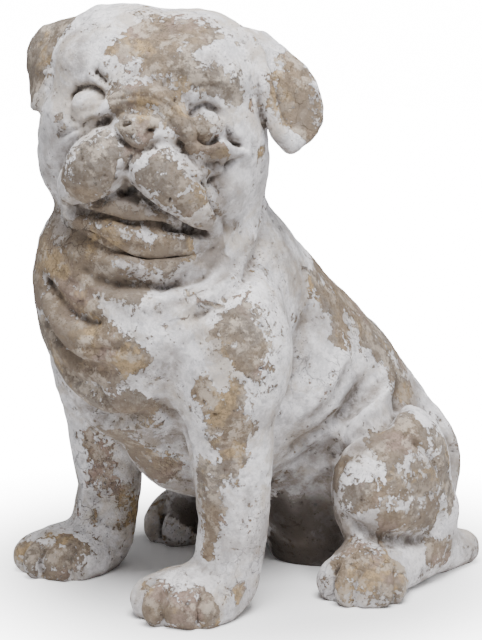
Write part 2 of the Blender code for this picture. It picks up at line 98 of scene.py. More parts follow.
def along_leg(points, start, end):
    """Each point's share of the way along a straight leg, and its distance from the leg."""
    run = end - start
    share = np.clip((points - start) @ run / max(run @ run, TINY), 0, 1)
    return share, np.linalg.norm(points - start - share[:, None] * run, axis=1)


def add_sphere(centre, radius):
    bpy.ops.mesh.primitive_ico_sphere_add(subdivisions=2, radius=radius, location=centre)


print("The head is turned", HEAD_YAW, "degrees to the dog's left")


# %% Balls
class Ball:
    """An ellipsoid of clay."""

    def __init__(self, centre, radii, turn=(0, 0, 0), fillet=2.0):
        self.centre = np.array(centre, float)
        self.radii = np.array(radii, float)
        self.axes = turned(*turn)
        self.fillet = fillet

    def place(self, axes, origin):
        self.centre = axes @ self.centre + origin
        self.axes = axes @ self.axes

    def box(self):
        half = np.abs(self.axes) @ self.radii
        return self.centre - half, self.centre + half

    def distance(self, points):
        local = (points - self.centre) @ self.axes
        near = np.linalg.norm(local / self.radii, axis=1)
        steep = np.linalg.norm(local / self.radii**2, axis=1)
        return near * (near - 1) / np.maximum(steep, TINY)

    def add_primitive(self):
        turn = Matrix(self.axes.tolist()).to_euler()
        bpy.ops.mesh.primitive_ico_sphere_add(
            subdivisions=3, radius=1, location=self.centre, rotation=turn, scale=self.radii
        )


# %% Rolls
SPHERE_STEP = 0.5  # from one sphere of a roll to the next, as a share of their radius


class Roll:
    """A rolled length of clay along a path, with a radius at each of its points."""

    def __init__(self, path, radii, fillet=2.0, steps=1):
        radii = np.broadcast_to(np.array(radii, float), len(path))
        at = np.linspace(0, len(path) - 1, steps * (len(path) - 1) + 1)
        self.path = curve_through(path, steps)
        self.radii = np.interp(at, np.arange(len(path)), radii)
        self.fillet = fillet

    def place(self, axes, origin):
        self.path = self.path @ axes.T + origin

    def box(self):
        half = self.radii[:, None]
        return (self.path - half).min(0), (self.path + half).max(0)

    def distance(self, points):
        best = np.full(len(points), FAR)
        for i in range(len(self.path) - 1):
            share, gap = along_leg(points, self.path[i], self.path[i + 1])
            radius = self.radii[i] + share * (self.radii[i + 1] - self.radii[i])
            best = np.minimum(best, gap - radius)
        return best

    def add_primitive(self):
        for i in range(len(self.path) - 1):
            run = self.path[i + 1] - self.path[i]
            gap = SPHERE_STEP * min(self.radii[i], self.radii[i + 1])
            for share in np.linspace(0, 1, max(2, int(np.linalg.norm(run) / gap))):
                radius = self.radii[i] + share * (self.radii[i + 1] - self.radii[i])
                add_sphere(self.path[i] + share * run, radius)


# %% Flaps
class Flap:
    """A sheet of clay between two edges, with a rounded rim."""

    def __init__(self, front, back, radius, fillet=1.0, steps=2):
        self.front = curve_through(front, steps)
        self.back = curve_through(back, steps)
        self.radius = radius
        self.fillet = fillet

    def place(self, axes, origin):
        self.front = self.front @ axes.T + origin
        self.back = self.back @ axes.T + origin

    def box(self):
        corners = np.vstack([self.front, self.back])
        return corners.min(0) - self.radius, corners.max(0) + self.radius

    def triangles(self):
        for i in range(len(self.front) - 1):
            yield self.front[i], self.back[i], self.front[i + 1]
            yield self.back[i], self.back[i + 1], self.front[i + 1]

    def distance(self, points):
        best = np.full(len(points), FAR)
        for a, b, c in self.triangles():
            normal = np.cross(b - a, c - a)
            within = np.ones(len(points), bool)
            for start, end in ((a, b), (b, c), (c, a)):
                best = np.minimum(best, along_leg(points, start, end)[1])
                within &= (points - start) @ np.cross(normal, end - start) > 0
            flat = np.abs((points - a) @ normal) / np.linalg.norm(normal)
            best[within] = np.minimum(best[within], flat[within])
        return best - self.radius

    def add_primitive(self):
        for front, back in zip(self.front, self.back):
            steps = max(2, int(np.linalg.norm(back - front) / self.radius))
            for share in np.linspace(0, 1, steps):
                add_sphere(front + share * (back - front), self.radius)


# %% [markdown]
# ## One skin
#
# Where two lumps of clay meet, a thumb smooths the join. Here the distances of the lumps are
# blended with a fillet of a given size, and the skin is where the blended distance is zero.
# A voxel remesh of the primitives gives an even mesh close to that skin. Each vertex is then
# moved down the slope of the distance until it lies on it, which takes the steps out.

# %% The blended skin
REACH = 3.0
SLOPE_STEP = 0.05


def close_to(form, points, margin):
    """The indices of the points that lie in the form's box, widened by a margin."""
    low, high = form.box()
    return np.flatnonzero(((points > low - margin) & (points < high + margin)).all(1))


def blended(field, distance, fillet):
    """The union of two fields, with a fillet of about that radius where they meet."""
    overlap = np.maximum(fillet - np.abs(field - distance), 0) / max(fillet, 1e-6)
    return np.minimum(field, distance) - overlap * overlap * fillet / 4


def skin_field(lumps):
    """A function of points: about the distance to the skin, and negative inside."""

    def field(points):
        found = np.full(len(points), FAR)
        for lump in lumps:
            close = close_to(lump, points, REACH + lump.fillet)
            found[close] = blended(found[close], lump.distance(points[close]), lump.fillet)
        return found

    return field


def slope_of(field, points):
    """The field at each point, and its slope there along X, Y and Z."""
    here = field(points)
    steps = [field(points + SLOPE_STEP * step) - here for step in np.eye(3)]
    return here, np.stack(steps, axis=1) / SLOPE_STEP


def onto_skin(points, field, passes):
    """Moves points down the field's slope until they lie on the skin."""
    points = points.copy()
    for _ in range(passes):
        here, slope = slope_of(field, points)
        steep = np.maximum((slope * slope).sum(1), 0.25)
        move = np.clip(-here / steep, -REACH / 2, REACH / 2)
        points += move[:, None] * slope
    return points


print("The skin is read with steps of", SLOPE_STEP)

# %% [markdown]
# ## Tool marks
#
# A fold in the neck or the line of an eyelid is drawn over the skin with a round tool. A
# stroke rests on the skin, presses a groove or raises a ridge along its path, and fades out
# at both ends, as a hand does when it lifts the tool.


# %% Strokes
class Stroke:
    """A tool drawn over the skin along a path: a positive depth presses a groove, a
    negative one raises a ridge. It fades out towards both ends."""

    def __init__(self, path, width, depth, fade=0.5):
        self.path = np.array(path, float)
        self.width = width
        self.depth = depth
        self.fade = fade

    def place(self, axes, origin):
        self.path = self.path @ axes.T + origin

    def lay(self, field):
        """Runs a smooth curve through the path's points and rests it on the skin."""
        legs = np.linalg.norm(np.diff(self.path, axis=0), axis=1)
        laid = curve_through(self.path, max(2, int(legs.max() / self.width)))
        self.samples = onto_skin(laid, field, passes=6)

    def box(self):
        return self.samples.min(0), self.samples.max(0)

    def press(self, points):
        """How deep the tool goes in at each of these points."""
        steps = len(self.samples) - 1
        nearest = np.full(len(points), FAR)
        along = np.zeros(len(points))
        for i in range(steps):
            share, gap = along_leg(points, self.samples[i], self.samples[i + 1])
            closer = gap < nearest
            nearest[closer] = gap[closer]
            along[closer] = (i + share[closer]) / steps
        strength = np.clip(np.minimum(along, 1 - along) / max(self.fade / 2, 1e-6), 0, 1)
        strength = strength * strength * (3 - 2 * strength)
        return self.depth * strength * np.exp(-((nearest / self.width) ** 2))


def carved(points, field, strokes):
    """Moves points on the skin in or out, as deep as the strokes go."""
    _, slope = slope_of(field, points)
    outward = slope / np.maximum(np.linalg.norm(slope, axis=1), 1e-6)[:, None]
    depth = np.zeros(len(points))
    for stroke in strokes:
        close = close_to(stroke, points, 2.5 * stroke.width)
        depth[close] += stroke.press(points[close])
    return points - depth[:, None] * outward


# %% [markdown]
# ## The body
#
# The pug sits upright: a barrel of a chest on two straight front legs, a back that slopes
# down to the haunches, and short thick hind legs folded alongside the rump. The forms are
# large simple lumps with wide fillets, because the whitewashed body shows no edges.

# %% Trunk
def torso():
    return [
        Roll(
            [(-4, 0, 70), (-5, 2, 61), (-5, 8, 51), (-5, 18, 39.5), (-4, 29.5, 29.5), (-3, 39, 21)],
            [13, 14, 17, 18.5, 18.5, 17],
            fillet=4,
        ),
        Ball((-5, -4, 48), (21.3, 20, 16), fillet=5),
        Ball((-5, -4, 57), (21, 16, 16), turn=(0, 0, 50), fillet=5),
        Ball((-6, -9, 38), (13, 10, 11), fillet=5),
        Ball((-5, 8, 28.6), (14, 18, 14), fillet=4),
        Ball((-3, 36, 15), (15, 17, 17), fillet=4),
        Ball((-2, 32, 6), (10, 11, 12), fillet=4),
    ]


print("Lumps in the trunk:", len(torso()))


# %% Legs
def front_leg(side):
    x = 17.1 * side - 5
    return [
        Ball((x + 1.5 * side, -3, 44), (8.5, 10, 13), fillet=4),
        Roll([
            (x, -4, 36), (x, -2.8, 26), (x, -2.2, 15), (x - 0.7, -3.5, 6),
        ], [7.8, 7, 5.8, 5.8], fillet=3),
        Ball((x - 2.4, -9, 2.8), (8.2, 9.2, 5.6), fillet=2),
        Ball((x - 6.6, -14.6, 2.8), (3.2, 3.6, 3.6), fillet=1.5),
        Ball((x - 2, -15.6, 3), (3.6, 3.8, 3.8), fillet=1.5),
        Ball((x + 2.4, -12.4, 2.8), (3.2, 3.8, 3.6), fillet=1.5),
    ]


def hind_leg(side):
    x = 20 * side - 2.5
    knee = 23 if side > 0 else 20
    return [
        Ball((x, 30, 18.5), (9.5, 11.5, 13), turn=(-15, 0, 0), fillet=4),
        Ball((x + 2 * side, knee, 17), (6, 6.5, 10.5), fillet=3),
        Ball((x + side, 36, 11), (7, 7, 8), fillet=3),
        Roll([
            (x + 1.5 * side, 46.8, 2.8), (x + 2.5 * side, 34, 5), (x + 4.5 * side, 20, 4),
        ], [3.4, 5.4, 5.5], fillet=3),
        Ball((x + 4.6 * side, 19, 3.2), (7.2, 7.2, 5.8), fillet=2),
        Ball((x + 1.5 * side, 14.4, 3), (3.2, 3, 3.6), fillet=1.5),
        Ball((x + 6 * side, 14.6, 3), (3.4, 3.2, 3.8), fillet=1.5),
        Ball((x + 9.4 * side, 18.6, 2.8), (2.8, 3.4, 3.4), fillet=1.5),
    ]


print("Lumps in a front leg:", len(front_leg(1)), "and in a hind leg:", len(hind_leg(1)))

# %% [markdown]
# The tail lies in a short curl against the left haunch, so it is one roll that thins out.


# %% Tail
def tail():
    return [
        Roll(
            [(9, 45.5, 27), (12, 47, 23.5), (13.3, 48.6, 18.5), (13.3, 48.2, 13), (12.5, 47.8, 9.5)],
            [3, 3, 2.8, 2.5, 2.2],
            fillet=1,
            steps=4,
        ),
    ]


# %% [markdown]
# ## The head
#
# All of the head is set out in its own frame, as if it looked straight ahead, and then
# turned to the dog's left. A pug's face is flat. The muzzle is two hanging lobes under a
# small nose, and one thick roll of skin runs over the nose from cheek to cheek.


# %% Placing in the head's frame
def head_part(*forms):
    """Forms given in the head's frame, moved to where the head is."""
    for form in forms:
        form.place(HEAD_TURN, np.array(HEAD_CENTRE))
    return list(forms)


# %% Ears
def right_ear():
    front = [(-10.6, -1, 17.2), (-13, -2.4, 15.2), (-15, -3.6, 11.6), (-16.6, -4, 6.8), (-18.4, -2.8, 2)]
    back = [(-15, 4, 15.4), (-20.8, 5, 13.2), (-22.8, 5, 9.6), (-22.2, 4.4, 5.4), (-20.6, 1, 1.6)]
    return [Roll(front, 1.5, fillet=1, steps=3), Flap(front, back, 1.3, fillet=0.8)]


def left_ear():
    front = [
        (12, -2, 17), (15, -3, 15), (17.4, -3.6, 11), (19.2, -3.6, 6.4), (21.2, -3.2, 2.4),
        (23, -2, 0.4),
    ]
    back = [
        (15.4, 4, 16.6), (20.6, 4, 13.4), (24.4, 4, 9.9), (26, 3.8, 6.2), (25.8, 1.8, 2.8),
        (23.8, -1, 0.4),
    ]
    return [Roll(front, 1.7, fillet=0.8, steps=3), Flap(front, back, 1.1, fillet=0.8)]


# %% Skull and eyes
def skull():
    forms = [Ball((0.5, 1, 3.5), (17.5, 15, 16), fillet=4)]
    for side in SIDES:
        forms += [
            Ball((7.5 * side, 1, 9.2), (10, 13, 10), fillet=4),
            Ball((8.5 * side, -7.6, 10), (6.5, 4.5, 4), fillet=4),
            Ball((9.5 * side, -4.4, 0), (8.4, 8, 9), fillet=3),
            Ball((10.8 * side, 0, -5.5), (8.4, 9, 9.6), fillet=4),
        ]
    return forms


def eyes():
    return [
        Ball((-8.7, -11, 4), (3.1, 3, 3.1), fillet=0.3),
        Ball((10.6, -10.9, 3.2), (2.9, 2.9, 2.9), fillet=0.3),
        Ball((-12.4, -9.2, 0.4), (3.2, 2.6, 2), turn=(0, 25, 0), fillet=1.5),
        Ball((11.4, -10.9, -0.6), (3.8, 2.8, 2.3), fillet=1),
        Ball((15, -8, -1.2), (2.4, 2.4, 2.2), fillet=1),
    ]


# %% Nose, muzzle and jaw
def nose():
    return [
        Ball((1, -13.4, 1.6), (4.6, 4, 3.2), fillet=1.5),
        Ball((-2.2, -13, 0.8), (2.2, 2.8, 2), fillet=1),
        Ball((4.2, -13, 0.6), (2.2, 2.6, 2), fillet=1),
        Ball((1, -14.2, -0.9), (2.8, 3, 2.4), fillet=1.5),
    ]


def nose_roll():
    path = [
        (-14.6, -8.8, -6), (-10.2, -12.2, -0.4), (-5.4, -14, 3.8), (-1.8, -14.1, 6.1),
        (1.6, -13.9, 6.7),
    ]
    path += [(5.1, -13.9, 5), (7.9, -13.5, 2.1), (9.8, -12.9, -1.1), (11.2, -12.2, -4.4)]
    return [Roll(path, [0.9, 1, 1.2, 1.4, 1.4, 1.5, 1.5, 1.3, 0.9], fillet=1.3, steps=3)]


def muzzle():
    right_lobe = [(-4.5, -13.2, -3.4), (-6.3, -12.8, -6), (-9, -11, -9.2), (-11, -9.4, -11.6)]
    left_lobe = [(3.5, -13.2, -4.4), (7, -12.2, -7.2), (10.2, -10.4, -10.5), (12.4, -9, -13)]
    return [
        Ball((1, -7.5, -5), (8.5, 6.5, 8), fillet=2),
        Ball((-0.3, -13, -3.8), (3, 4, 2.8), fillet=1),
        Roll(right_lobe, [4.6, 5.2, 3.8, 1.9], fillet=0.8, steps=3),
        Roll(left_lobe, [4.7, 4.9, 3.7, 1.7], fillet=0.8, steps=3),
        Ball((14.2, -6.8, -7.4), (2.8, 3.2, 4.2), fillet=2),
    ]


def jaw():
    lip = [
        (-10.8, -9, -14), (-6.6, -10.9, -14.9), (-1.5, -12, -15.8), (3.5, -11.8, -16.4),
        (8, -11, -16), (12, -9, -15.2),
    ]
    return [
        Ball((0.6, -10.2, -11.6), (10.4, 4.4, 3.6), fillet=1),
        Ball((9.6, -8.6, -13.6), (4, 2.6, 2.2), fillet=1),
        Roll([
            (-6.6, -11.6, -12), (-3, -12.8, -12), (0.4, -13.2, -12.8),
        ], [0.9, 1.2, 1], fillet=0.6, steps=2),
        Roll(lip, [1.3, 2, 2.7, 2.9, 2.4, 1.3], fillet=0.6, steps=3),
        Ball((1, -4, -15), (13, 8, 4.6), fillet=3),
    ]


def head():
    face = eyes() + nose() + nose_roll() + muzzle() + jaw()
    return head_part(*skull(), *face, *right_ear(), *left_ear())


def lumps_of_clay():
    forms = torso() + tail() + head()
    for side in SIDES:
        forms += front_leg(side) + hind_leg(side)
    return forms


print("Lumps of clay in all:", len(lumps_of_clay()))

# %% [markdown]
# ## Folds and creases
#
# Loose skin hangs in rings round the throat, gathers in bunches between flank and thigh,
# and folds over at the shoulder. The large folds are the same ones that the solid has, so
# that the finished piece keeps its form.


# %% Folds of the neck and chest
def chest_folds():
    throat = [(-8.3, -21.6, 63.3), (-3.1, -21.9, 60), (2.4, -20, 58.4), (10, -12.8, 58.4)]
    throat += [(12.3, -6, 60.4), (12.4, 2.4, 67.8)]
    under_throat = [
        (-5.2, -22.1, 60.8), (1.6, -21, 57), (8.4, -16.7, 56.1), (13, -9.6, 57.4), (12, 2.3, 66.1),
    ]
    collar = [(12.4, -14.6, 51.5), (15.4, -12.2, 52), (17.1, -5.6, 56), (13.4, 2.6, 60), (9.2, 7.5, 66.9)]
    breast = [
        (-14, -22, 56.5), (-9.8, -23.8, 54.2), (-4.7, -24, 50.9), (0.7, -23.3, 49.5),
        (5, -21.5, 50.4),
    ]
    bib = [
        (-14, -21, 52), (-10.7, -23.6, 48.9), (-5.9, -23.3, 43.9), (-1.1, -22.3, 42.1),
        (7, -19.2, 42.5),
    ]
    return [
        Stroke(throat, 2.2, -1.5),
        Stroke(under_throat, 1.3, 1.9),
        Stroke([(2, -21, 53.5), (9, -17, 52.8), (14.6, -9.6, 54), (15.5, -2, 58.6)], 2.2, -1.3),
        Stroke(collar, 1.4, 1.8),
        Stroke(breast, 1.3, 1.7),
        Stroke([(-14, -22, 53), (-8, -24, 49.5), (-3, -23.8, 46), (3, -22, 45.5)], 2.2, -1.2),
        Stroke(bib, 1.4, 1.5),
        Stroke([(-11, -20.1, 38.8), (-5.6, -18.1, 32.8), (2.1, -15.2, 32.3), (6, -13.5, 34.5)], 1.5, 1.9),
        Stroke([(-10, -21, 41.4), (-5.4, -19.8, 36.6), (1.6, -17.6, 35.4), (6.4, -15.6, 37.6)], 2, -0.9),
        Stroke([(5, -14.4, 38), (7.4, -12, 31), (8.4, -9, 24)], 1.6, 1.2),
        Stroke([(-21.2, -11.5, 33), (-17, -12, 29), (-12, -9, 24), (-8, -4, 18)], 1.5, 1.2),
        Stroke([(16.5, -12.1, 50.3), (14.4, -14.4, 45.9), (10.2, -14.5, 39.6), (6.1, -12.8, 33.9)], 2, 1),
    ]


# %% Folds of the flanks
BODY_MIDDLE = -4


def mirrored(path):
    """The same path on the other flank."""
    return [(2 * BODY_MIDDLE - x, y, z) for x, y, z in path]


def flank_folds():
    shoulder = [(11.3, 17.6, 50.3), (12.8, 12.4, 44.7), (11.9, 10.8, 37), (12, 8, 32)]
    belly = [
        (12.9, 29.8, 38.3), (14.1, 26.7, 34.4), (14, 23.3, 31.5), (12.3, 20.5, 25.2), (9.2, 18, 22),
        (5.8, 14, 20.3),
    ]
    thigh = [
        (10.1, 41, 34.5), (14.9, 35.4, 32.1), (18.9, 25.2, 29.4), (15, 20.8, 24.5),
        (10.4, 21.7, 18.7), (5, 20.1, 14.8),
    ]
    between = [
        (12, 35.5, 36.8), (15.4, 30.4, 33.4), (16.4, 23.2, 28.8), (12.6, 20.6, 23.2),
        (7.3, 18.6, 18.6),
    ]
    ahead = [(12.2, 24.5, 43.6), (13.7, 19.5, 37.9), (12.1, 15.6, 31.6), (9.6, 12.8, 26.8)]
    strokes = []
    for path, width, depth in (
        (shoulder, 2, 1.6),
        (ahead, 2.6, -1.4),
        (belly, 1.7, 1.9),
        (between, 2.2, -1.8),
        (thigh, 1.6, 1.6),
    ):
        strokes.append(Stroke(path, width, depth))
        strokes.append(Stroke(mirrored(path), width, 0.7 * depth))
    under_knee = [
        (18.4, 16.6, 15.5), (20.7, 17.2, 12.5), (24.1, 20.3, 10.7), (25.2, 28.4, 8.8),
        (25.6, 34.6, 9.4),
    ]
    strokes.append(Stroke(under_knee, 1.2, 1.4))
    strokes.append(Stroke(mirrored(under_knee), 1.2, 1))
    return strokes


# %% Toes
def toe_gaps():
    """Each gap runs down the front of a paw and on below the ground."""
    tops = []
    for side, x in ((1, 12.1), (-1, -22.1)):
        tops += [(x - 4.6, -17, side), (x, -16.8, side), (x + 5, -13, side)]
    for side, x in ((1, 17.5), (-1, -22.5)):
        tops += [(x + 3.4 * side, 12.4, side), (x + 8.2 * side, 14, side), (x + 11.4 * side, 20, side)]
    gaps = []
    for x, y, side in tops:
        gaps.append(Stroke([(x, y + 2, 8), (x, y - 1, 4), (x, y - 0.6, -3)], 0.9, 1.5, fade=0.6))
    return gaps


# %% Creases of the head
CREASE = 0.5


def eye_creases():
    return [
        Stroke([
            (-12, -12, 3.2), (-11.3, -12.1, 5.6), (-9, -12.9, 6.8), (-6.7, -13.2, 6.2),
            (-5.6, -13.6, 4.4),
        ], CREASE, 1.1),
        Stroke([
            (8, -13.6, 3.2), (8.5, -13, 5), (10.2, -12.6, 6), (12.1, -12, 5.4), (13.2, -11.4, 3.4),
        ], CREASE, 1.1),
        Stroke([
            (-14.1, -10.9, -2.7), (-11.4, -12.4, -1), (-8.4, -13.6, 1), (-6, -14.6, 2.6),
        ], CREASE, 0.6),
        Stroke([(8.2, -13.6, 2), (10, -13.4, 0.5), (12, -12.6, 0.1), (13.6, -11.6, 1.4)], CREASE, 0.7),
        Stroke([(13.4, -11.6, 3.4), (14.4, -11, 2), (15.6, -10.2, 0.6), (17, -8.4, 0)], CREASE, 0.9),
        Stroke([
            (10.2, -14.1, -2.2), (11.9, -13.2, -3.2), (14.1, -11.3, -3.6), (15.9, -10, -2.4),
            (16.8, -8.8, -0.8),
        ], CREASE, 0.7),
        Stroke([(-8.2, -13.4, 9.8), (-6.7, -13.5, 8.5), (-5.3, -13.4, 7.4)], CREASE, 1),
        Stroke([(7, -13.5, 7.3), (8.9, -13.4, 8.8), (11.2, -12.7, 9.2), (13.6, -11.3, 8)], CREASE, 0.5),
    ]


def nose_creases():
    return [
        Stroke([(-1.4, -16.7, 2.4), (-1.2, -16.9, 1.7)], 0.75, 1.7, fade=0),
        Stroke([(2.9, -17, 2), (3.2, -16.9, 1.2)], 0.75, 1.7, fade=0),
        Stroke([
            (-3.8, -15, 1), (-1.6, -16.3, -1), (1, -17, -1.9), (3.2, -16.6, -0.9), (5, -15.6, 0.6),
        ], CREASE, 0.7),
        Stroke([(0.2, -16.9, -2.1), (-0.5, -16.6, -4), (-0.7, -15.2, -6.4)], CREASE, 1.1),
    ]


def mouth_creases():
    under_right_lobe = [
        (-0.6, -13.5, -7.8), (-3.1, -14.4, -9.9), (-5.8, -13.5, -11.7), (-8.8, -12.4, -12.7),
        (-12, -9.8, -13.1),
    ]
    under_left_lobe = [
        (-0.6, -13.4, -7.8), (2.3, -14.6, -9.7), (5.7, -14.4, -11.9), (9.3, -12.4, -13.6),
        (13.2, -9.4, -14.4),
    ]
    slit = [
        (-11.6, -10.1, -13.2), (-7.1, -12.1, -13), (-2.9, -13.8, -13.4), (0, -14.2, -13.8),
        (4.4, -14.2, -13.6), (8, -12.6, -14.1),
    ]
    return [
        Stroke(under_right_lobe, CREASE, 1),
        Stroke(under_left_lobe, CREASE, 1),
        Stroke([(-0.8, -13.4, -8.4), (-0.3, -14, -9.2)], 1.2, 1.8, fade=0),
        Stroke(slit + [(13, -9.6, -14.5)], CREASE, 1),
        Stroke([(8.6, -12.2, -14.2), (11, -11.2, -14.4), (13, -9.6, -14.5)], CREASE, 0.7),
        Stroke([
            (-9.5, -11.6, -15.4), (-6.5, -12.8, -16.9), (-2.6, -13.6, -18), (1.7, -13, -19),
            (6.6, -12.6, -18.3), (11.3, -11.4, -16.6),
        ], CREASE, 0.9),
        Stroke([
            (11.4, -13.1, -4.4), (12.2, -13, -7), (13.1, -12.2, -9.7), (14, -9.4, -12.6),
        ], CREASE, 1.2),
    ]


def ear_creases():
    return [
        Stroke([(16, -3, 15.4), (19.2, -3, 10.8), (21, -2.8, 6.4), (22.8, -2.4, 2.4)], 1, 0.8),
        Stroke([(-14.6, -2.6, 15), (-17, -2.6, 11.6), (-18.4, -2.4, 7.6), (-19.4, -1.4, 3.6)], 0.9, 0.9),
        Stroke([(-10.6, -3.6, 16.6), (-12.8, -5.2, 12.6), (-14.6, -6.2, 8), (-16.4, -6, 3)], 1.1, 1),
    ]


def head_creases():
    return head_part(*eye_creases(), *nose_creases(), *mouth_creases(), *ear_creases())


# %% [markdown]
# The solid stops at what shows from a step away. The lines that are only a few millimetres
# wide are drawn here, with a narrow tool: furrows over the brows, the rims of the eyelids,
# wrinkles of the bags and cheeks, cracks in the lips and lesser folds between the large ones.


# %% Fine lines of the face
def fine_lines_of_the_face():
    return head_part(
        Stroke([(-1.2, -12.2, 11.5), (-0.6, -12.8, 10), (-0.3, -13.2, 8.5)], 0.6, 0.35),
        Stroke([(3.6, -12.4, 12.3), (3.5, -13, 10), (3, -13.6, 7.7)], 0.6, 0.35),
        Stroke([(1.2, -12.6, 10.6), (1.4, -13.4, 8.4)], 0.5, 0.3),
        Stroke([(6, -13, 11.4), (5.2, -13.4, 9)], 0.5, 0.3),
        Stroke([(-12, -11.8, 2.6), (-10.8, -12.8, 1.2), (-9, -13.8, 0.8), (-7.2, -14.4, 1.8)], 0.4, 0.35),
        Stroke([
            (-6.6, -14.6, 4.4), (-2.4, -15.6, 6), (2, -15.6, 6.6), (5.6, -15.2, 5), (8.2, -14.8, 2.2),
        ], 0.35, 0.4),
        Stroke([(3.4, -14.6, 7.8), (6.6, -14.4, 6), (9.2, -14, 2.8), (10.8, -13.6, -0.6)], 0.35, 0.35),
        Stroke([(7.6, -13.2, 1.6), (9.4, -13.2, 0.2), (11.6, -12.4, 0), (13.4, -11.2, 1.4)], 0.45, 0.5),
        Stroke([
            (8.5, -14.8, -2.9), (10.4, -15.2, -5.1), (12.6, -12.5, -6.1), (14.6, -11, -3.8),
            (16, -9.9, -0.2),
        ], 0.5, 0.6),
        Stroke([(9.5, -13.6, -0.8), (11.6, -12.6, -2.4), (13.6, -11.4, -2.6)], 0.4, 0.4),
        Stroke([(12.6, -11.6, 2.2), (14.4, -10.2, 0.6), (16.2, -8.8, 0.4)], 0.5, 0.6),
        Stroke([
            (-2.8, -16.6, 3.4), (-1.2, -16.6, 4.6), (1, -16.8, 5), (3.4, -16.6, 4.4),
            (5.4, -15.6, 2.8),
        ], 0.4, 0.5),
        Stroke([(-7, -17.6, -4.6), (-5.8, -18, -5.8), (-6.6, -17.8, -7)], 0.35, 0.35),
        Stroke([(-4.4, -17.8, -6.2), (-5.8, -17.8, -7.2), (-8, -17, -7.4)], 0.35, 0.3),
        Stroke([(6.6, -17.2, -4.4), (8, -16.6, -6), (8.4, -16.2, -8)], 0.35, 0.3),
        Stroke([(4.4, -17.4, -7), (6.6, -17, -9), (9.4, -15.4, -11)], 0.35, 0.3),
        Stroke([(-10, -10.4, -15.4), (-5, -12.8, -16.4), (0.6, -14, -17), (7, -12.6, -16.8)], 0.5, 0.35),
    )


print("Fine lines of the face:", len(fine_lines_of_the_face()))


# %% Fine lines of the body
THROAT_LINE = [(8.2, -17.5, 55.1), (10.5, -13.9, 56.4), (11.9, -8.1, 59.8), (12.1, -5.3, 62.6)]
COLLAR_LINE = [(10, -17.2, 52.2), (13.3, -12.3, 53.7), (14.8, -6.8, 57), (12.6, 2.2, 62.1)]
FLANK_LINE = [(13.4, 21.7, 40.6), (13.8, 20.4, 36.1), (12.4, 16.3, 31.5), (9.6, 11.6, 27.5)]
THIGH_LINE = [(12.8, 40.1, 29.1), (21.3, 22.9, 28), (17.4, 17.9, 23.2), (15.5, 17.7, 19.5)]


def fine_lines_of_the_body():
    return [
        Stroke(FLANK_LINE, 1.2, 0.8),
        Stroke([
            (12.6, 34, 36.4), (14.4, 28.9, 33.3), (13.3, 20.9, 29.4), (9.5, 15.2, 25.2),
            (8, 13.2, 23.1),
        ], 1.1, 1.1),
        Stroke([
            (12.4, 37.8, 32.7), (18.7, 27.7, 30.9), (17.3, 21.3, 27.5), (10.7, 20.2, 21.6),
            (5.8, 17.8, 18.7),
        ], 1.2, 1.3),
        Stroke(THIGH_LINE, 1.1, 0.9),
        Stroke([(24.1, 26.9, 27), (25.5, 28.9, 25.3), (26.4, 31.4, 22.6), (26.5, 33.8, 18.2)], 0.8, 1),
        Stroke([(26.1, 24.1, 20.5), (26.8, 27.2, 17.4), (26.8, 32.2, 17.4)], 1, 0.5),
        Stroke([(-9.6, -23.7, 55.2), (-4.5, -23.8, 52.8), (0.7, -23, 51.1)], 0.8, 0.5),
        Stroke([(-8.6, -23.5, 56.8), (-1.7, -23, 54.5), (2.7, -21.7, 53.4)], 0.8, 0.5),
        Stroke([
            (-5.9, -24, 47.6), (-1.3, -23.5, 45.7), (4.3, -21.7, 45.4), (7.5, -20.1, 46.4),
        ], 0.7, 0.6),
        Stroke([
            (-2.3, -21, 39.1), (-0.6, -19.5, 36.8), (1.3, -16.2, 32.8), (3.7, -15.2, 33.7),
        ], 0.6, 0.8),
        Stroke(THROAT_LINE, 1, 1),
        Stroke(COLLAR_LINE, 1.1, 1),
        Stroke([(-4, -22.2, 59.4), (0.5, -21.8, 56.1), (6.9, -18.5, 55)], 0.9, 0.7),
        Stroke([(9.6, 15.6, 23.6), (7, 12.6, 22.4)], 0.7, 0.5),
        Stroke([(13, 46.6, 26), (10.4, 46.8, 22), (10.2, 47.4, 17), (10.2, 47, 11)], 0.8, 0.9),
        Stroke([(15.6, 46, 24), (16.6, 46.6, 19), (16, 46.4, 12)], 0.8, 0.9),
        Stroke([(-12, -23.8, 47.6), (-8, -24.4, 44.4), (-3, -24, 42.4)], 0.8, 0.4),
        Stroke([(-10, -23.6, 41.6), (-5, -22.6, 38.6), (1, -20.6, 37.6)], 0.8, 0.4),
    ]


def carving():
    return chest_folds() + flank_folds() + toe_gaps() + head_creases()


print("Strokes in all:", len(carving() + fine_lines_of_the_face() + fine_lines_of_the_body()))

# %% [markdown]
# ## Building the skin
#
# The lumps go into one mesh object in edit mode, one sphere after another. A Remesh modifier
# joins them, the vertices settle on the blended skin, and a second, finer remesh gives room
# for the tool marks. The vertex moves are done in numpy, because no operator knows the skin.

# %% Settings of the skin
ROUGH_VOXEL = 1.1
FINE_VOXEL = 0.4
TRIANGLE_BUDGET = 190000


def positions(piece):
    points = np.empty(len(piece.data.vertices) * 3)
    piece.data.vertices.foreach_get("co", points)
    return points.reshape(-1, 3)


def put(piece, points):
    piece.data.vertices.foreach_set("co", points.ravel())
    piece.data.update()


def finish_modifier(piece, modifier):
    bpy.context.view_layer.objects.active = piece
    bpy.ops.object.modifier_apply(modifier=modifier.name)


print("Voxels of", ROUGH_VOXEL, "and then", FINE_VOXEL, "hundredths of the height")


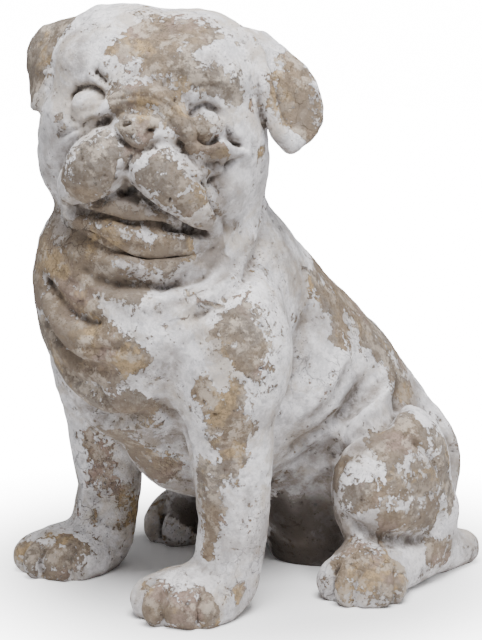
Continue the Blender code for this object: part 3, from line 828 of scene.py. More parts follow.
# %% Setting out the clay
def set_out(lumps):
    """One mesh object with a sphere for each ball and a row of spheres for each roll."""
    bpy.ops.object.select_all(action="DESELECT")
    bpy.ops.mesh.primitive_ico_sphere_add(radius=1, enter_editmode=True)
    piece = bpy.context.object
    bpy.ops.mesh.delete(type="VERT")
    for lump in lumps:
        lump.add_primitive()
    bpy.ops.object.mode_set(mode="OBJECT")
    return piece


def remesh(piece, voxel):
    modifier = piece.modifiers.new("one_skin", "REMESH")
    modifier.mode = "VOXEL"
    modifier.voxel_size = voxel
    finish_modifier(piece, modifier)


lumps = lumps_of_clay()
pug = set_out(lumps)
pug.name = "whitewashed_pug"
print("Spheres hold", len(pug.data.vertices), "vertices")

# %% Smoothing the joins
field = skin_field(lumps)
remesh(pug, ROUGH_VOXEL)
put(pug, onto_skin(positions(pug), field, passes=3))
remesh(pug, FINE_VOXEL)
put(pug, onto_skin(positions(pug), field, passes=3))
print("The skin has", len(pug.data.vertices), "vertices")

# %% Pressing the folds in
strokes = carving() + fine_lines_of_the_face() + fine_lines_of_the_body()
for stroke in strokes:
    stroke.lay(field)
put(pug, carved(positions(pug), field, strokes))
print("Strokes pressed in:", len(strokes))

# %% [markdown]
# A cast taken from a hand-made clay model is never quite even. Three layers of noise move
# the skin a little: broad thumb marks, smaller dents, and pits where the cement has spalled.

# %% Unevenness of the hand and the weather
THUMB_MARKS = {"size": 7.0, "depth": 0.32}
DENTS = {"size": 2.0, "depth": 0.16}
PITS = {"size": 0.9, "depth": 0.6, "from": 0.42}


def wavy(points, size, seed):
    """Smooth noise from -1 to 1 at each point, with features of about that size."""
    shift = Vector((seed, 2.3 * seed, 5.1 * seed))
    return np.array([noise.noise(Vector(point) / size + shift) for point in points])


def weathered(points, normals):
    depth = THUMB_MARKS["depth"] * wavy(points, THUMB_MARKS["size"], 3)
    depth += DENTS["depth"] * wavy(points, DENTS["size"], 7)
    pits = np.maximum(wavy(points, PITS["size"], 11) - PITS["from"], 0)
    depth += PITS["depth"] * pits / (1 - PITS["from"])
    return points - depth[:, None] * normals


def vertex_normals(piece):
    normals = np.empty(len(piece.data.vertices) * 3)
    piece.data.vertices.foreach_get("normal", normals)
    return normals.reshape(-1, 3)


put(pug, weathered(positions(pug), vertex_normals(pug)))
print("Deepest pits:", PITS["depth"], "hundredths of the height")

# %% [markdown]
# ## Down to the ground
#
# The mesh is thinned where it is flat, cut level at the ground as the casting is, and then
# brought to the solid's own box, so that it takes the solid's place exactly.


# %% Thinning and cutting
def thin(piece, triangles):
    piece.data.calc_loop_triangles()
    modifier = piece.modifiers.new("fewer_faces", "DECIMATE")
    modifier.ratio = triangles / len(piece.data.loop_triangles)
    modifier.use_collapse_triangulate = True
    finish_modifier(piece, modifier)


def cut_level(piece):
    bpy.context.view_layer.objects.active = piece
    bpy.ops.object.mode_set(mode="EDIT")
    bpy.ops.mesh.select_all(action="SELECT")
    bpy.ops.mesh.bisect(plane_co=(0, 0, 0), plane_no=(0, 0, 1), clear_inner=True, use_fill=True)
    bpy.ops.mesh.select_all(action="SELECT")
    bpy.ops.mesh.quads_convert_to_tris()
    bpy.ops.object.mode_set(mode="OBJECT")


thin(pug, TRIANGLE_BUDGET)
cut_level(pug)
print("Triangles:", len(pug.data.polygons))

# %% [markdown]
# ## Where the whitewash has gone
#
# Whitewash is a thin coat of lime. Rain, frost and hands take it off the crown, the lips,
# the chest and the fronts of the legs, and it stays in between. Each worn place is drawn as
# a soft stroke over the skin. The material later breaks its edge up into flakes. A dark
# bloom in every hollow is painted shade that also stands for dirt, and how hollow a place is
# comes from the mesh itself. Some soft stains are painted shade and shadow too: under the
# belly, between the legs, along the folds and in the mouth.


# %% Worn places on the head
def soft_patch(path, width, strength=1.0):
    """A soft patch about that wide to each side of its path: a worn place, a stain or painted shade."""
    return Stroke(path, 1.2 * width, strength, fade=0)


def worn_head():
    crown = [(-4, -9.4, 16), (0, -10.1, 14.8), (4.2, -8.2, 16.9), (9, -10.5, 15)]
    brow = [(7.6, -13.5, 9.8), (11.5, -12.7, 9.4), (14, -11, 8.5), (14.8, -9.9, 6.3)]
    roll = [(-4.4, -14.8, 4.2), (0.3, -15.4, 6.7), (4.3, -15.1, 6.7), (7.4, -15, 3.9), (10.4, -14, -1)]
    return head_part(
        soft_patch(crown, 3.4),
        soft_patch([(0, -11.5, 12.6), (5, -13, 11.4), (8.4, -12.6, 12)], 2.4, 0.9),
        soft_patch([(-6.4, -11.8, 13), (-3, -12.4, 12.4)], 1.3),
        soft_patch([(2, -13.6, 8.4), (4.5, -13.5, 9.6), (7.7, -13.5, 8.6)], 1.7, 0.75),
        soft_patch(brow, 1.9, 0.95),
        soft_patch([(10.6, -13.6, 0.6), (13, -12.6, 0)], 1.3, 0.75),
        soft_patch([(12, -13.2, -2), (14.6, -12.5, -0.5)], 1.4, 0.75),
        soft_patch([(-13.8, -11.2, 1.6), (-11.4, -12.6, -0.4)], 1.4, 0.55),
        soft_patch(roll, 2.4, 0.95),
        soft_patch([(-3, -16, 1.6), (0.4, -17, 3), (3.6, -16.4, 2)], 2.8, 0.95),
        soft_patch([(-1.6, -16.8, -1), (1.6, -17, -2.2)], 2.2, 0.9),
        soft_patch([(-2, -17, -4.4), (-5.3, -18, -4.6), (-7.2, -17.4, -7.6), (-9.6, -14.6, -10.4)], 4.8),
        soft_patch([(2.6, -17.8, -3.4), (6, -17.4, -6), (8, -16.6, -8)], 3.4, 0.95),
        soft_patch([(8.6, -16.4, -8), (10.8, -15, -10.8)], 2.5),
        soft_patch([(-15, 1.6, 16.2), (-19.4, 1.6, 12), (-20.8, 0.6, 6.6), (-20.2, -1.4, 3)], 4.6),
        soft_patch([(19.6, 2, 14.6), (22.6, 2, 11)], 2.8, 0.75),
        soft_patch([(21.5, 1, 11.5), (24.2, -0.6, 6), (23.4, -1.8, 1.8)], 4.2, 0.95),
        soft_patch([(20.4, -2, 12.4), (21.4, -2.4, 8.4)], 1.6, 0.7),
        soft_patch([(-9, -11, -16.2), (-2, -13.6, -17.4), (5, -13, -17.4), (10, -11.6, -16)], 2.3, 0.85),
        soft_patch([(-7, -12.4, -12.4), (-1, -14, -12.8), (6, -13.4, -13.4)], 1.6, 0.8),
        soft_patch([(-10.4, -9.4, -17.4), (-6.6, -11.4, -18.8), (-1.5, -13, -20.4)], 2.3, 0.95),
        soft_patch([(0, 15, 12), (8, 14, 8)], 4.6),
        soft_patch([(-9, 14, 4), (-12, 12, -4)], 4, 0.9),
        soft_patch([(6, 15.5, 2), (12, 12, -3)], 3.4, 0.9),
    )


# %% Worn places on the chest and front legs
THROAT_SIDE = [(0, -22, 57), (5, -20.4, 55.4), (8.6, -18, 54)]


def worn_front():
    return [
        soft_patch([(-16, -20, 60), (-9.3, -23.5, 58.4), (-2.1, -22.7, 57), (2.4, -21, 55.4)], 3.2),
        soft_patch(THROAT_SIDE, 2.6, 0.9),
        soft_patch([(-17, -20, 52.6), (-10, -23.8, 52), (-5.9, -24, 52.5), (1.6, -22.2, 52.6)], 3.2, 0.95),
        soft_patch([(-17, -20, 46), (-9, -24, 46.5), (-2.3, -23.7, 46.4), (4, -21.8, 48)], 3.5),
        soft_patch([(-12, -22, 41), (-0.8, -21.9, 41.4), (5.4, -20.9, 45), (7.4, -18.4, 42)], 3.4),
        soft_patch([
            (-9.3, -21.8, 40), (-4.1, -19.5, 35.6), (2.9, -16.6, 34.6), (6.4, -15.2, 36.6),
        ], 3.2, 0.9),
        soft_patch([(-3.8, -15.7, 30), (-3.7, -9.5, 24.8), (-0.7, -5.4, 20.3)], 4.6, 0.75),
        soft_patch([(18.2, -9.4, 51.4), (20.2, -8, 49.1), (21.5, -6, 46.6), (20.4, -8.6, 43)], 2.9),
        soft_patch([(14.7, -12.7, 40.4), (17.6, -11, 37.8), (17.7, -9, 32.7)], 2.2, 0.95),
        soft_patch([(20.6, -8, 40), (19.3, -9.3, 37.9), (19.3, -5.6, 31)], 2.3, 0.8),
        soft_patch([(17.7, -9, 31.7), (18, -7, 27.4), (15.4, -8.8, 23.9)], 2.1, 0.9),
        soft_patch([(13.9, -9.9, 27.2), (11.2, -8.8, 19.8)], 1.3),
        soft_patch([(15.1, -8.8, 23.9), (12.8, -8, 14.9), (12.4, -8.8, 9.9)], 1.6, 0.9),
        soft_patch([(8.4, -17, 2.6), (12.3, -18, 4.4), (16.4, -16, 2.8), (17.8, -11, 4.2)], 3.8, 0.85),
        soft_patch([(-27, -14, 3.4), (-23, -18.4, 4), (-19.6, -15.4, 4), (-19.8, -11.7, 8)], 3.6, 0.75),
        soft_patch([(-19.3, -8.8, 27), (-17.4, -6.4, 19.1), (-16.4, -2.4, 13.5), (-16, -0.8, 8)], 2.4, 0.7),
        soft_patch([(-24, -2, 50), (-25, -1, 42), (-24, -2, 34)], 3.4, 0.9),
    ]


# %% Worn places on the back and haunches
def worn_back():
    return [
        soft_patch([(9.7, 17.2, 55), (10.4, 19.7, 50.6), (11, 24, 46.6)], 2.6, 0.95),
        soft_patch([(11.6, 22.7, 46.3), (13.2, 19.9, 42)], 1.8),
        soft_patch([(10.4, 28.4, 43.6), (11.2, 31.8, 40.8), (12.1, 36, 35.9), (12.7, 39.4, 30.1)], 3, 0.95),
        soft_patch([(5, 22, 56), (6, 30, 48), (7, 36, 43), (8, 42, 34)], 4, 0.85),
        soft_patch([(24, 31, 28.4), (23.7, 25.3, 27), (23.2, 20.5, 25)], 3.6, 0.9),
        soft_patch([(24.6, 21, 21), (26.6, 26, 19.4), (26.8, 31, 20)], 3.4, 0.75),
        soft_patch([(21.5, 17, 20), (22.6, 17.6, 15.4)], 2.9, 0.95),
        soft_patch([(23.4, 20.4, 13), (26.2, 26.7, 13.6), (25.8, 33, 12.4)], 3.2, 0.9),
        soft_patch([(24.1, 32.4, 27.6), (25.3, 35, 23.8), (26.5, 33.8, 19.8), (25.4, 38, 14)], 2.5, 0.8),
        soft_patch([(16, 17.4, 25), (16, 17.6, 18)], 2.6, 0.75),
        soft_patch([(12.6, 49.4, 25), (14, 51, 19), (13.6, 50.6, 13)], 2),
        soft_patch([(22, 13.6, 4), (25.7, 15.6, 6), (29.4, 18.3, 4), (27.6, 22, 6.6)], 3.6, 0.85),
        soft_patch([(24, 30, 6), (22.6, 37, 5)], 2.6, 0.65),
        soft_patch([(4, 44, 34), (-3, 46, 30), (-6, 50, 22)], 4.2),
        soft_patch([(-2, 22, 58), (-6, 30, 48)], 3.6, 0.9),
        soft_patch([(-29, 26, 24), (-30, 22, 16), (-28, 30, 12)], 3.6),
        soft_patch([(-21, 14, 46), (-21, 22, 40)], 3, 0.9),
        soft_patch([(-22, 34, 32), (-21, 39, 26)], 3, 0.9),
        soft_patch([(8, 47, 20), (2, 52, 14)], 2.6, 0.85),
    ]


# %% Stains and painted shade
def stain_and_shade_places():
    """Soft brown-grey stains where water ran and soot settled, and painted shade and shadow under the
    chin and belly, between the legs, along the folds and in the mouth. The darkest, above 1, are painted
    shadow.
    """
    return [
        # Painted shade under the chin.
        soft_patch([(-12, -18, 62), (-4, -21.6, 61), (6, -18, 60), (12, -8, 61)], 2.6, 0.95),
        soft_patch([(-18, -18, 55), (-10, -23, 49), (-2, -23.4, 44)], 6.4, 0.8),
        soft_patch([(-18, -18, 38), (-10, -19, 33), (0, -16, 31), (5, -14, 34)], 3.4, 0.7),
        # The next eight are painted shade and shadow under the chest and belly, between the legs and on
        # the far hind foot; those above 1 are painted shadow.
        soft_patch([(-6, -14, 28), (-5, -8, 22), (0, -2, 17)], 5, 0.9),
        soft_patch([(-6, 4, 15), (0, 12, 14), (3, 15.4, 15)], 5, 1.4),
        soft_patch([(-2, 18, 12), (3, 20, 7), (6, 23, 11), (5.6, 24, 3), (-1, 20, 1), (-6, 18, 2)], 6.4, 1.6),
        soft_patch([(13, 16, 23), (15.6, 17, 18), (15.6, 17, 12)], 2.2, 1.2),
        soft_patch([(-4, 30, 6), (-16, 20, 8), (-20, 16, 3)], 8, 1.6),
        soft_patch([(6, -14, 37), (8.4, -9, 26), (8, -6, 14)], 2, 0.8),
        soft_patch([(-16, -2, 24), (-15, 0, 14)], 2.6, 0.6),
        soft_patch([(16, 17, 14), (17, 16, 10), (18, 15.6, 7)], 2.4, 1.2),
        soft_patch(THROAT_SIDE, 3, 0.75),
        soft_patch([(24, 26, 26), (25, 30, 14), (22, 18, 14)], 4.4, 0.5),
        soft_patch([(20, 40, 6), (24, 30, 4)], 3.6, 0.5),
        soft_patch([(10, 24, 50), (12, 34, 40)], 5, 0.45),
        # The next six are painted shade in the valleys of the folds.
        soft_patch(THROAT_LINE, 0.8, 0.6),
        soft_patch(COLLAR_LINE, 0.9, 0.6),
        soft_patch(FLANK_LINE, 1, 0.5),
        soft_patch([(12.6, 34, 36.4), (14.4, 28.9, 33.3), (13.3, 20.9, 29.4), (8, 13.2, 23.1)], 1, 0.65),
        soft_patch([(12.4, 37.8, 32.7), (18.7, 27.7, 30.9), (17.3, 21.3, 27.5), (5.8, 17.8, 18.7)], 1.3, 0.8),
        soft_patch(THIGH_LINE, 1.6, 0.8),
        *head_part(
            # A painted shade along the mouth slit, and a painted shadow inside the mouth.
            soft_patch([(-9, -10.4, -12.8), (-3, -13.4, -12.2), (2, -14, -12), (8, -12.6, -13)], 2, 1),
            soft_patch([(-2, -13.4, -9.8), (-0.2, -13.8, -9.8), (1.6, -13.6, -10.4)], 1.3, 1.7),
            soft_patch([(-8.8, -14, 4), (-8.6, -14, 3)], 2.2, 0.65),
            soft_patch([(10.6, -13.8, 3.4), (10.6, -13.8, 2.6)], 2.2, 0.7),
            soft_patch([(9, -14, -3), (13, -12.4, -5), (14.6, -9, -9)], 2.4, 0.6),
            soft_patch([(-12, -11, 2), (-14, -9, -3)], 2, 0.5),
            soft_patch([(-10, -9, -15), (0, -13, -18), (10, -10.6, -17)], 2.6, 0.7),
            # Painted shade under the jaw.
            soft_patch([(-14, -2, -16), (0, -8, -21), (12, -4, -18)], 3.4, 0.85),
            soft_patch([(-19, 2, 12), (-20, 0, 4)], 4.4, 0.6),
            soft_patch([(23, 1, 9), (24, -1, 3)], 4.4, 0.7),
            soft_patch([(13.6, -8, -8), (15, -5, -14)], 2.6, 0.75),
            soft_patch([(-13, -9, -1), (-15, -5, -10)], 2.6, 0.5),
            soft_patch([(8.8, -13.6, 5.4), (9, -14, 1), (11, -13.6, -4)], 2, 0.6),
            soft_patch([(-2, -12.8, 10), (3, -13.4, 8), (8, -13.4, 7)], 2, 0.5),
        ),
    ]


# %% Wear, stains, painted shade and hollows, vertex by vertex
# Darkening near the ground and under whatever faces down is painted shade, partly splashed dirt and soot.
LOW_SPLASH_AND_SHADE = {"height": 14, "strength": 0.45}
UNDERSIDE_SOOT_AND_SHADE = {"steepness": 1.4, "strength": 0.75}
# How hollow each place is sets the painted shade in creases and hollows.
CREASES = {"rounds": 6, "full": 0.3}
HOLLOWS = {"rounds": 60, "full": 0.9}


def strongest(points, strokes):
    """From 0, untouched, to 1, in the middle of a place, at each point."""
    share = np.zeros(len(points))
    for stroke in strokes:
        stroke.lay(field)
        close = close_to(stroke, points, 3 * stroke.width)
        share[close] = np.maximum(share[close], stroke.press(points[close]))
    return share


def averaged(values, starts, ends, rounds):
    """Values at vertices, each replaced again and again by the mean of its neighbours."""
    count = np.bincount(starts, minlength=len(values)) + np.bincount(ends, minlength=len(values))
    for _ in range(rounds):
        total = np.zeros_like(values)
        for axis in range(values.shape[1]):
            total[:, axis] = np.bincount(starts, values[ends, axis], len(values))
            total[:, axis] += np.bincount(ends, values[starts, axis], len(values))
        values = 0.5 * values + 0.5 * total / count[:, None]
    return values


def hollow_at(piece, rounds, full):
    """How far each vertex lies below its smoothed surroundings, as a share of a full depth."""
    ends = np.empty(2 * len(piece.data.edges), np.int32)
    piece.data.edges.foreach_get("vertices", ends)
    points = positions(piece)
    around = averaged(points, ends[0::2], ends[1::2], rounds)
    depth = ((around - points) * vertex_normals(piece)).sum(1)
    return np.clip(depth / full, -1, 1)


def add_attribute(piece, name, values):
    layer = piece.data.attributes.new(name, "FLOAT", "POINT")
    layer.data.foreach_set("value", values.astype(np.float32))


def splash_soot_and_shade_at(points, normals):
    """Darker near the ground and on whatever faces down: painted shade, which also stands for splashes
    and soot.
    """
    splash_and_shade_low = LOW_SPLASH_AND_SHADE["strength"] * np.clip(1 - points[:, 2] / LOW_SPLASH_AND_SHADE["height"], 0, 1)
    soot_and_shade_below = UNDERSIDE_SOOT_AND_SHADE["strength"] * np.clip(-UNDERSIDE_SOOT_AND_SHADE["steepness"] * normals[:, 2], 0, 1)
    return np.maximum(splash_and_shade_low, soot_and_shade_below)


clay_points = positions(pug)
worn = strongest(clay_points, worn_head() + worn_front() + worn_back())
stain_and_shade = strongest(clay_points, stain_and_shade_places())
add_attribute(pug, "worn", worn)
# Stains and painted shade together, with the painted shade near the ground and under whatever faces down.
add_attribute(pug, "stain_and_shade", np.maximum(stain_and_shade, splash_soot_and_shade_at(clay_points, vertex_normals(pug))))
add_attribute(pug, "crease", hollow_at(pug, **CREASES))
add_attribute(pug, "hollow", hollow_at(pug, **HOLLOWS))
print("Worn bare:", round(100 * float((worn > 0.5).mean())), "percent of the vertices")


# %% Bringing it to the solid's box
def fit_to_solid(piece):
    """Scales the clay to the solid's box. Returns the clay's middle and the scale in height."""
    points = positions(piece)
    low, high = points.min(0), points.max(0)
    put(piece, LOW + (points - low) / (high - low) * (HIGH - LOW))
    return (low + high) / 2, (HIGH - LOW)[2] / (high - low)[2]


clay_middle, clay_scale = fit_to_solid(pug)
print("One hundredth of the height is", round(1000 * clay_scale, 3), "mm")

# %% [markdown]
# ## The finish
#
# There are three layers. At the bottom is cement, brown where it is clean and ochre where
# sand shows. Over it lies the whitewash, cool and chalky, with hairline cracks, and a thin
# veil of it stays on the worn places. On top are stains and specks of dirt, and painted shade
# and shadow in the creases, in the hollows and under the belly, which also stand for dirt there.
# All patterns read Object coordinates, so they hold still whatever the camera does.


# %% Helpers for the node tree
class Tree:
    """A node tree that is written from left to right."""

    def __init__(self, material):
        self.nodes = material.node_tree.nodes
        self.links = material.node_tree.links
        self.place = self.add("ShaderNodeTexCoord").outputs["Object"]

    def add(self, kind, **settings):
        node = self.nodes.new(kind)
        for name, value in settings.items():
            setattr(node, name, value)
        return node

    def fill(self, sockets, values):
        """Links each value that comes from a node, and sets each that is a number or colour."""
        for socket, value in zip(sockets, values):
            if isinstance(value, bpy.types.NodeSocket):
                self.links.new(value, socket)
            else:
                socket.default_value = value

    def feed(self, node, **values):
        self.fill([node.inputs[name.replace("_", " ")] for name in values], values.values())

    def noise(self, scale, detail=6.0, roughness=0.6, distortion=0.0):
        node = self.add("ShaderNodeTexNoise")
        self.feed(node, Vector=self.place, Scale=scale, Detail=detail)
        self.feed(node, Roughness=roughness, Distortion=distortion)
        return node.outputs["Fac"]

    def range(self, value, low, high, to_low=0.0, to_high=1.0):
        node = self.add("ShaderNodeMapRange", interpolation_type="SMOOTHSTEP")
        self.feed(node, Value=value, From_Min=low, From_Max=high, To_Min=to_low, To_Max=to_high)
        return node.outputs["Result"]

    def math(self, operation, a, b=0.0):
        node = self.add("ShaderNodeMath", operation=operation)
        self.fill(node.inputs, (a, b))
        return node.outputs["Value"]

    def mix(self, share, a, b):
        node = self.add("ShaderNodeMix", data_type="RGBA")
        self.fill([node.inputs[index] for index in (0, 6, 7)], (share, a, b))
        return node.outputs[2]

    def attribute(self, name):
        return self.add("ShaderNodeAttribute", attribute_name=name).outputs["Fac"]


def paint(red, green, blue):
    """A colour from 0 to 255, as it looks, made linear."""
    shares = (channel / 255 for channel in (red, green, blue))
    return (*(s / 12.92 if s < 0.04045 else ((s + 0.055) / 1.055) ** 2.4 for s in shares), 1.0)


# %% Colours of the statue and of its painted shade
CEMENT_DARK = paint(82, 72, 62)
CEMENT_BROWN = paint(138, 121, 102)
CEMENT_OCHRE = paint(168, 144, 108)
CEMENT_ROSE = paint(144, 124, 114)
CEMENT_GREY = paint(126, 118, 110)
LIME_WHITE = paint(233, 230, 232)
LIME_GREY = paint(160, 160, 165)
LIME_THIN = paint(186, 174, 160)
# A brown for stains, and for painted shade in hollows, folds and under the belly.
STAIN_AND_SHADE_BROWN = paint(110, 98, 86)
# A dark for dirt in cracks, for painted shade in creases, and for painted shadow under the belly and in
# the mouth.
DARK_DIRT_AND_SHADE = paint(54, 46, 40)
SPECK = paint(60, 58, 58)


def cement_colour(tree):
    broad = tree.range(tree.noise(16, 6, 0.6), 0.42, 0.58)
    rosy = tree.range(tree.noise(19, 5, 0.6, 0.6), 0.52, 0.64)
    sandy = tree.range(tree.noise(26, 7, 0.65), 0.53, 0.61)
    streaks = tree.range(tree.noise(150, 6, 0.7), 0.46, 0.58)
    grain = tree.range(tree.noise(430, 3, 0.6), 0.46, 0.62)
    colour = tree.mix(broad, CEMENT_GREY, CEMENT_BROWN)
    colour = tree.mix(rosy, colour, CEMENT_ROSE)
    colour = tree.mix(sandy, colour, CEMENT_OCHRE)
    colour = tree.mix(tree.math("MULTIPLY", streaks, 0.5), colour, CEMENT_DARK)
    return tree.mix(tree.math("MULTIPLY", grain, 0.4), colour, CEMENT_DARK)


def lime_colour(tree):
    broad = tree.range(tree.noise(13, 8, 0.65), 0.46, 0.62)
    mottled = tree.range(tree.noise(90, 6, 0.7), 0.46, 0.6)
    thin = tree.range(tree.noise(24, 8, 0.7, 0.4), 0.48, 0.62)
    grain = tree.range(tree.noise(400, 3, 0.6), 0.46, 0.66)
    colour = tree.mix(tree.math("MULTIPLY", broad, 0.4), LIME_WHITE, LIME_GREY)
    colour = tree.mix(tree.math("MULTIPLY", mottled, 0.45), colour, LIME_GREY)
    colour = tree.mix(tree.math("MULTIPLY", thin, 0.75), colour, LIME_THIN)
    return tree.mix(tree.math("MULTIPLY", grain, 0.35), colour, LIME_GREY)


print("Lime white is", [round(channel, 2) for channel in LIME_WHITE[:3]], "in linear light")


# %% Masks of wear, cracks and specks
CRACK_BEND = (0.03, 0.03, 0.03)
RELIEF = {"Strength": 0.9, "Distance": 0.0016}


def bare_mask(tree):
    """1 where the cement is bare: a worn place with a flaky edge, or a chip on its own."""
    flakes = tree.math("ADD", tree.noise(34, 5, 0.6, 0.4), tree.noise(120, 4, 0.6))
    flakes = tree.math("ADD", flakes, tree.noise(330, 3, 0.6))
    ragged = tree.math("MULTIPLY", tree.math("SUBTRACT", flakes, 1.5), 1.5)
    standing_out = tree.math("MULTIPLY", tree.attribute("crease"), -0.15)
    edge = tree.math("ADD", tree.math("ADD", tree.attribute("worn"), ragged), standing_out)
    worn = tree.range(edge, 0.36, 0.48)
    chips = tree.range(tree.noise(52, 8, 0.7, 0.5), 0.61, 0.65)
    return tree.math("MAXIMUM", worn, chips)


def stain_and_shade_mask(tree):
    """Soft stains and painted shade: the drawn places, and a little anywhere, always patchy."""
    patchy = tree.range(tree.noise(40, 8, 0.7), 0.38, 0.62)
    drawn = tree.math("MULTIPLY", tree.attribute("stain_and_shade"), tree.math("ADD", patchy, 0.35))
    anywhere = tree.range(tree.noise(11, 8, 0.7), 0.5, 0.64, 0.0, 0.55)
    return tree.math("MINIMUM", tree.math("MAXIMUM", drawn, anywhere), 0.8)


def crack_mask(tree):
    cells = tree.add("ShaderNodeTexVoronoi", feature="DISTANCE_TO_EDGE")
    bent = tree.add("ShaderNodeVectorMath", operation="MULTIPLY_ADD")
    bend = tree.add("ShaderNodeTexNoise")
    tree.feed(bend, Vector=tree.place, Scale=45.0, Detail=5.0)
    tree.fill(bent.inputs, (bend.outputs["Color"], CRACK_BEND, tree.place))
    tree.feed(cells, Vector=bent.outputs["Vector"], Scale=70.0)
    lines = tree.range(cells.outputs["Distance"], 0.01, 0.03, 1.0, 0.0)
    return tree.math("MULTIPLY", lines, tree.range(tree.noise(16, 5), 0.54, 0.66))


def speck_mask(tree):
    """Soot and lichen: fine dots in drifts, and a few larger ones."""
    cells = tree.add("ShaderNodeTexVoronoi", feature="F1")
    tree.feed(cells, Vector=tree.place, Scale=420.0)
    dots = tree.range(cells.outputs["Distance"], 0.12, 0.3, 1.0, 0.0)
    dots = tree.math("MULTIPLY", dots, tree.range(tree.noise(34, 6), 0.48, 0.6))
    blots = tree.range(tree.noise(130, 5, 0.6), 0.66, 0.7)
    return tree.math("MAXIMUM", dots, blots)


# %% The whole finish
def whitewashed_cement():
    material = bpy.data.materials.new("whitewashed_cement")
    material.use_nodes = True
    tree = Tree(material)
    bare = bare_mask(tree)
    veil = tree.range(tree.noise(85, 6, 0.7), 0.5, 0.6, 0.0, 0.7)
    cement = tree.mix(veil, cement_colour(tree), LIME_THIN)
    colour = tree.mix(bare, lime_colour(tree), cement)
    # Stains, with the painted shade drawn among them.
    colour = tree.mix(stain_and_shade_mask(tree), colour, STAIN_AND_SHADE_BROWN)
    # The darkest drawn places are painted shadow: under the belly, in front of the haunch, on the far
    # hind foot and in the mouth.
    colour = tree.mix(tree.range(tree.attribute("stain_and_shade"), 0.9, 1.6, 0.0, 0.85), colour, DARK_DIRT_AND_SHADE)
    cracks, specks = crack_mask(tree), speck_mask(tree)
    colour = tree.mix(tree.math("MULTIPLY", cracks, 0.5), colour, DARK_DIRT_AND_SHADE)
    colour = tree.mix(tree.math("MULTIPLY", specks, 0.6), colour, SPECK)
    # Painted shade in the hollows and the deepest creases, which also stands for the dirt there.
    shade_patchiness = tree.range(tree.noise(70, 6, 0.7), 0.4, 0.58, 0.4, 1.0)
    hollow_shade = tree.range(tree.attribute("hollow"), 0.08, 0.7, 0.0, 0.75)
    colour = tree.mix(tree.math("MULTIPLY", hollow_shade, shade_patchiness), colour, STAIN_AND_SHADE_BROWN)
    crease = tree.range(tree.attribute("crease"), 0.25, 1.1, 0.0, 0.85)
    deep = tree.range(tree.attribute("hollow"), 0.6, 1.1, 0.0, 0.45)
    crease_shade = tree.math("MULTIPLY", tree.math("MAXIMUM", crease, deep), tree.math("ADD", shade_patchiness, 0.15))
    colour = tree.mix(crease_shade, colour, DARK_DIRT_AND_SHADE)
    shader = tree.nodes["Principled BSDF"]
    relief = tree.math("MULTIPLY", bare, -0.8)
    relief = tree.math("ADD", relief, tree.math("MULTIPLY", tree.noise(420, 6, 0.8), 0.7))
    relief = tree.math("ADD", relief, tree.math("MULTIPLY", tree.noise(90, 8, 0.75), 1.6))
    relief = tree.math("SUBTRACT", relief, tree.math("MULTIPLY", cracks, 0.5))
    bump = tree.add("ShaderNodeBump")
    tree.feed(bump, **RELIEF, Height=relief)
    tree.feed(shader, Base_Color=colour, Normal=bump.outputs["Normal"])
    tree.feed(shader, Roughness=tree.range(bare, 0.0, 1.0, 0.78, 0.95))
    tree.feed(shader, Specular_IOR_Level=0.25)
    return material


pug.data.materials.clear()
pug.data.materials.append(whitewashed_cement())
bpy.ops.object.select_all(action="DESELECT")
pug.select_set(True)
bpy.context.view_layer.objects.active = pug
bpy.ops.object.shade_smooth()
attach(pug, "root")
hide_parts("pug_statue")
print("Nodes in the finish:", len(pug.data.materials[0].node_tree.nodes))

# %% [markdown]
# ## The stage
#
# A pale floor with no edge in view and soft light from all round, as in a product
# photograph. One broad light high above the camera shapes the folds, and a weaker one from
# the right fills the shadow side.


# %% Floor
FLOOR_SIZE = 12.0
FLOOR_WHITE = (0.93, 0.93, 0.94, 1)
BACKDROP = 16.0
SHADOW_REACH = (0.12, 0.42)  # metres from the middle, from where shadows show to where none does


def floor_paint():
    """White paint that glows a little more with distance, to melt into the backdrop."""
    material = bpy.data.materials.new("floor_paint")
    material.use_nodes = True
    tree = Tree(material)
    away = tree.add("ShaderNodeVectorMath", operation="LENGTH")
    tree.feed(away, Vector=tree.place)
    glow = tree.range(away.outputs["Value"], *SHADOW_REACH, 0.0, BACKDROP)
    seen = tree.math("MULTIPLY", glow, tree.add("ShaderNodeLightPath").outputs["Is Camera Ray"])
    shader = tree.nodes["Principled BSDF"]
    tree.feed(shader, Base_Color=FLOOR_WHITE, Roughness=0.9)
    tree.feed(shader, Emission_Color=(1, 1, 1, 1), Emission_Strength=seen)
    return material


def studio_floor():
    bpy.ops.mesh.primitive_plane_add(size=FLOOR_SIZE, location=(0, 0, 0))
    floor = bpy.context.object
    floor.name = "studio_floor"
    floor.data.materials.append(floor_paint())
    return floor


studio_floor()
print("The floor is", FLOOR_SIZE, "m across")


# %% Light
def softbox(name, azimuth, height, distance, size, watts):
    """A square area light that looks at the middle of the statue."""
    light = bpy.data.lights.new(name, "AREA")
    light.size = size
    light.energy = watts
    lamp = bpy.data.objects.new(name, light)
    bpy.context.scene.collection.objects.link(lamp)
    turn, rise = math.radians(azimuth), math.radians(height)
    way = Vector((math.sin(turn) * math.cos(rise), -math.cos(turn) * math.cos(rise), math.sin(rise)))
    target = Vector((0, 0, HIGH[2] / 2))
    lamp.location = target + distance * way
    lamp.rotation_euler = (-way).to_track_quat("-Z", "Y").to_euler()
    return lamp


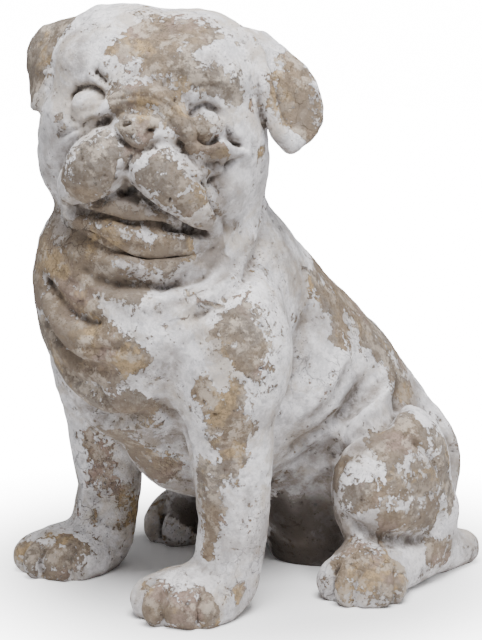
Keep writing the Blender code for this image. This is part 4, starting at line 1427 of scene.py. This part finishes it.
KEY = {"azimuth": 55, "height": 66, "distance": 1.8, "size": 1.0, "watts": 92}
FILL = {"azimuth": 110, "height": 30, "distance": 2.2, "size": 1.6, "watts": 11}
ROOM_LIGHT = 0.31


def studio_world():
    """White to look at, and much dimmer as a light, so that shadows stay under the pug."""
    world = bpy.data.worlds.new("studio")
    world.use_nodes = True
    nodes, links = world.node_tree.nodes, world.node_tree.links
    strength = nodes.new("ShaderNodeMapRange")
    strength.inputs["To Min"].default_value = ROOM_LIGHT
    strength.inputs["To Max"].default_value = BACKDROP
    links.new(nodes.new("ShaderNodeLightPath").outputs["Is Camera Ray"], strength.inputs["Value"])
    links.new(strength.outputs["Result"], nodes["Background"].inputs["Strength"])
    nodes["Background"].inputs["Color"].default_value = (1, 1, 1, 1)
    return world


softbox("key", **KEY)
softbox("fill", **FILL)
bpy.context.scene.world = studio_world()
print("Lights:", [light.name for light in bpy.data.lights])

# %% [markdown]
# The camera stands a little above the pug's eye level, off its left shoulder, so that the
# turned head looks almost straight at it. Distances are in hundredths of the height, and the
# focal length comes from the photograph's own scale in pixels.

# %% Camera
CAMERA_AZIMUTH = 50.0
CAMERA_DISTANCE = 300.0
CAMERA_HEIGHT = 96.0
VIEW_AZIMUTH = 48.56
VIEW_DOWN = 9.21
FOCAL_PIXELS, PHOTO_HEIGHT_PIXELS = 1795, 640
SENSOR = 36

around = math.radians(CAMERA_AZIMUTH)
stand = Vector((math.sin(around), -math.cos(around), 0)) * CAMERA_DISTANCE
stand.z = CAMERA_HEIGHT
turn, down = math.radians(VIEW_AZIMUTH), math.radians(VIEW_DOWN)
look = Vector((-math.sin(turn) * math.cos(down), math.cos(turn) * math.cos(down), -math.sin(down)))
camera = bpy.data.objects.new("camera", bpy.data.cameras.new("camera"))
bpy.context.scene.collection.objects.link(camera)
ground_middle = Vector((clay_middle[0], clay_middle[1], 0))
camera.location = (stand - ground_middle) * clay_scale
camera.rotation_euler = look.to_track_quat("-Z", "Y").to_euler()
camera.data.lens = FOCAL_PIXELS / PHOTO_HEIGHT_PIXELS * SENSOR
camera.data.sensor_width = SENSOR
bpy.context.scene.camera = camera
print("The camera is", round(camera.location.length, 2), "m away")
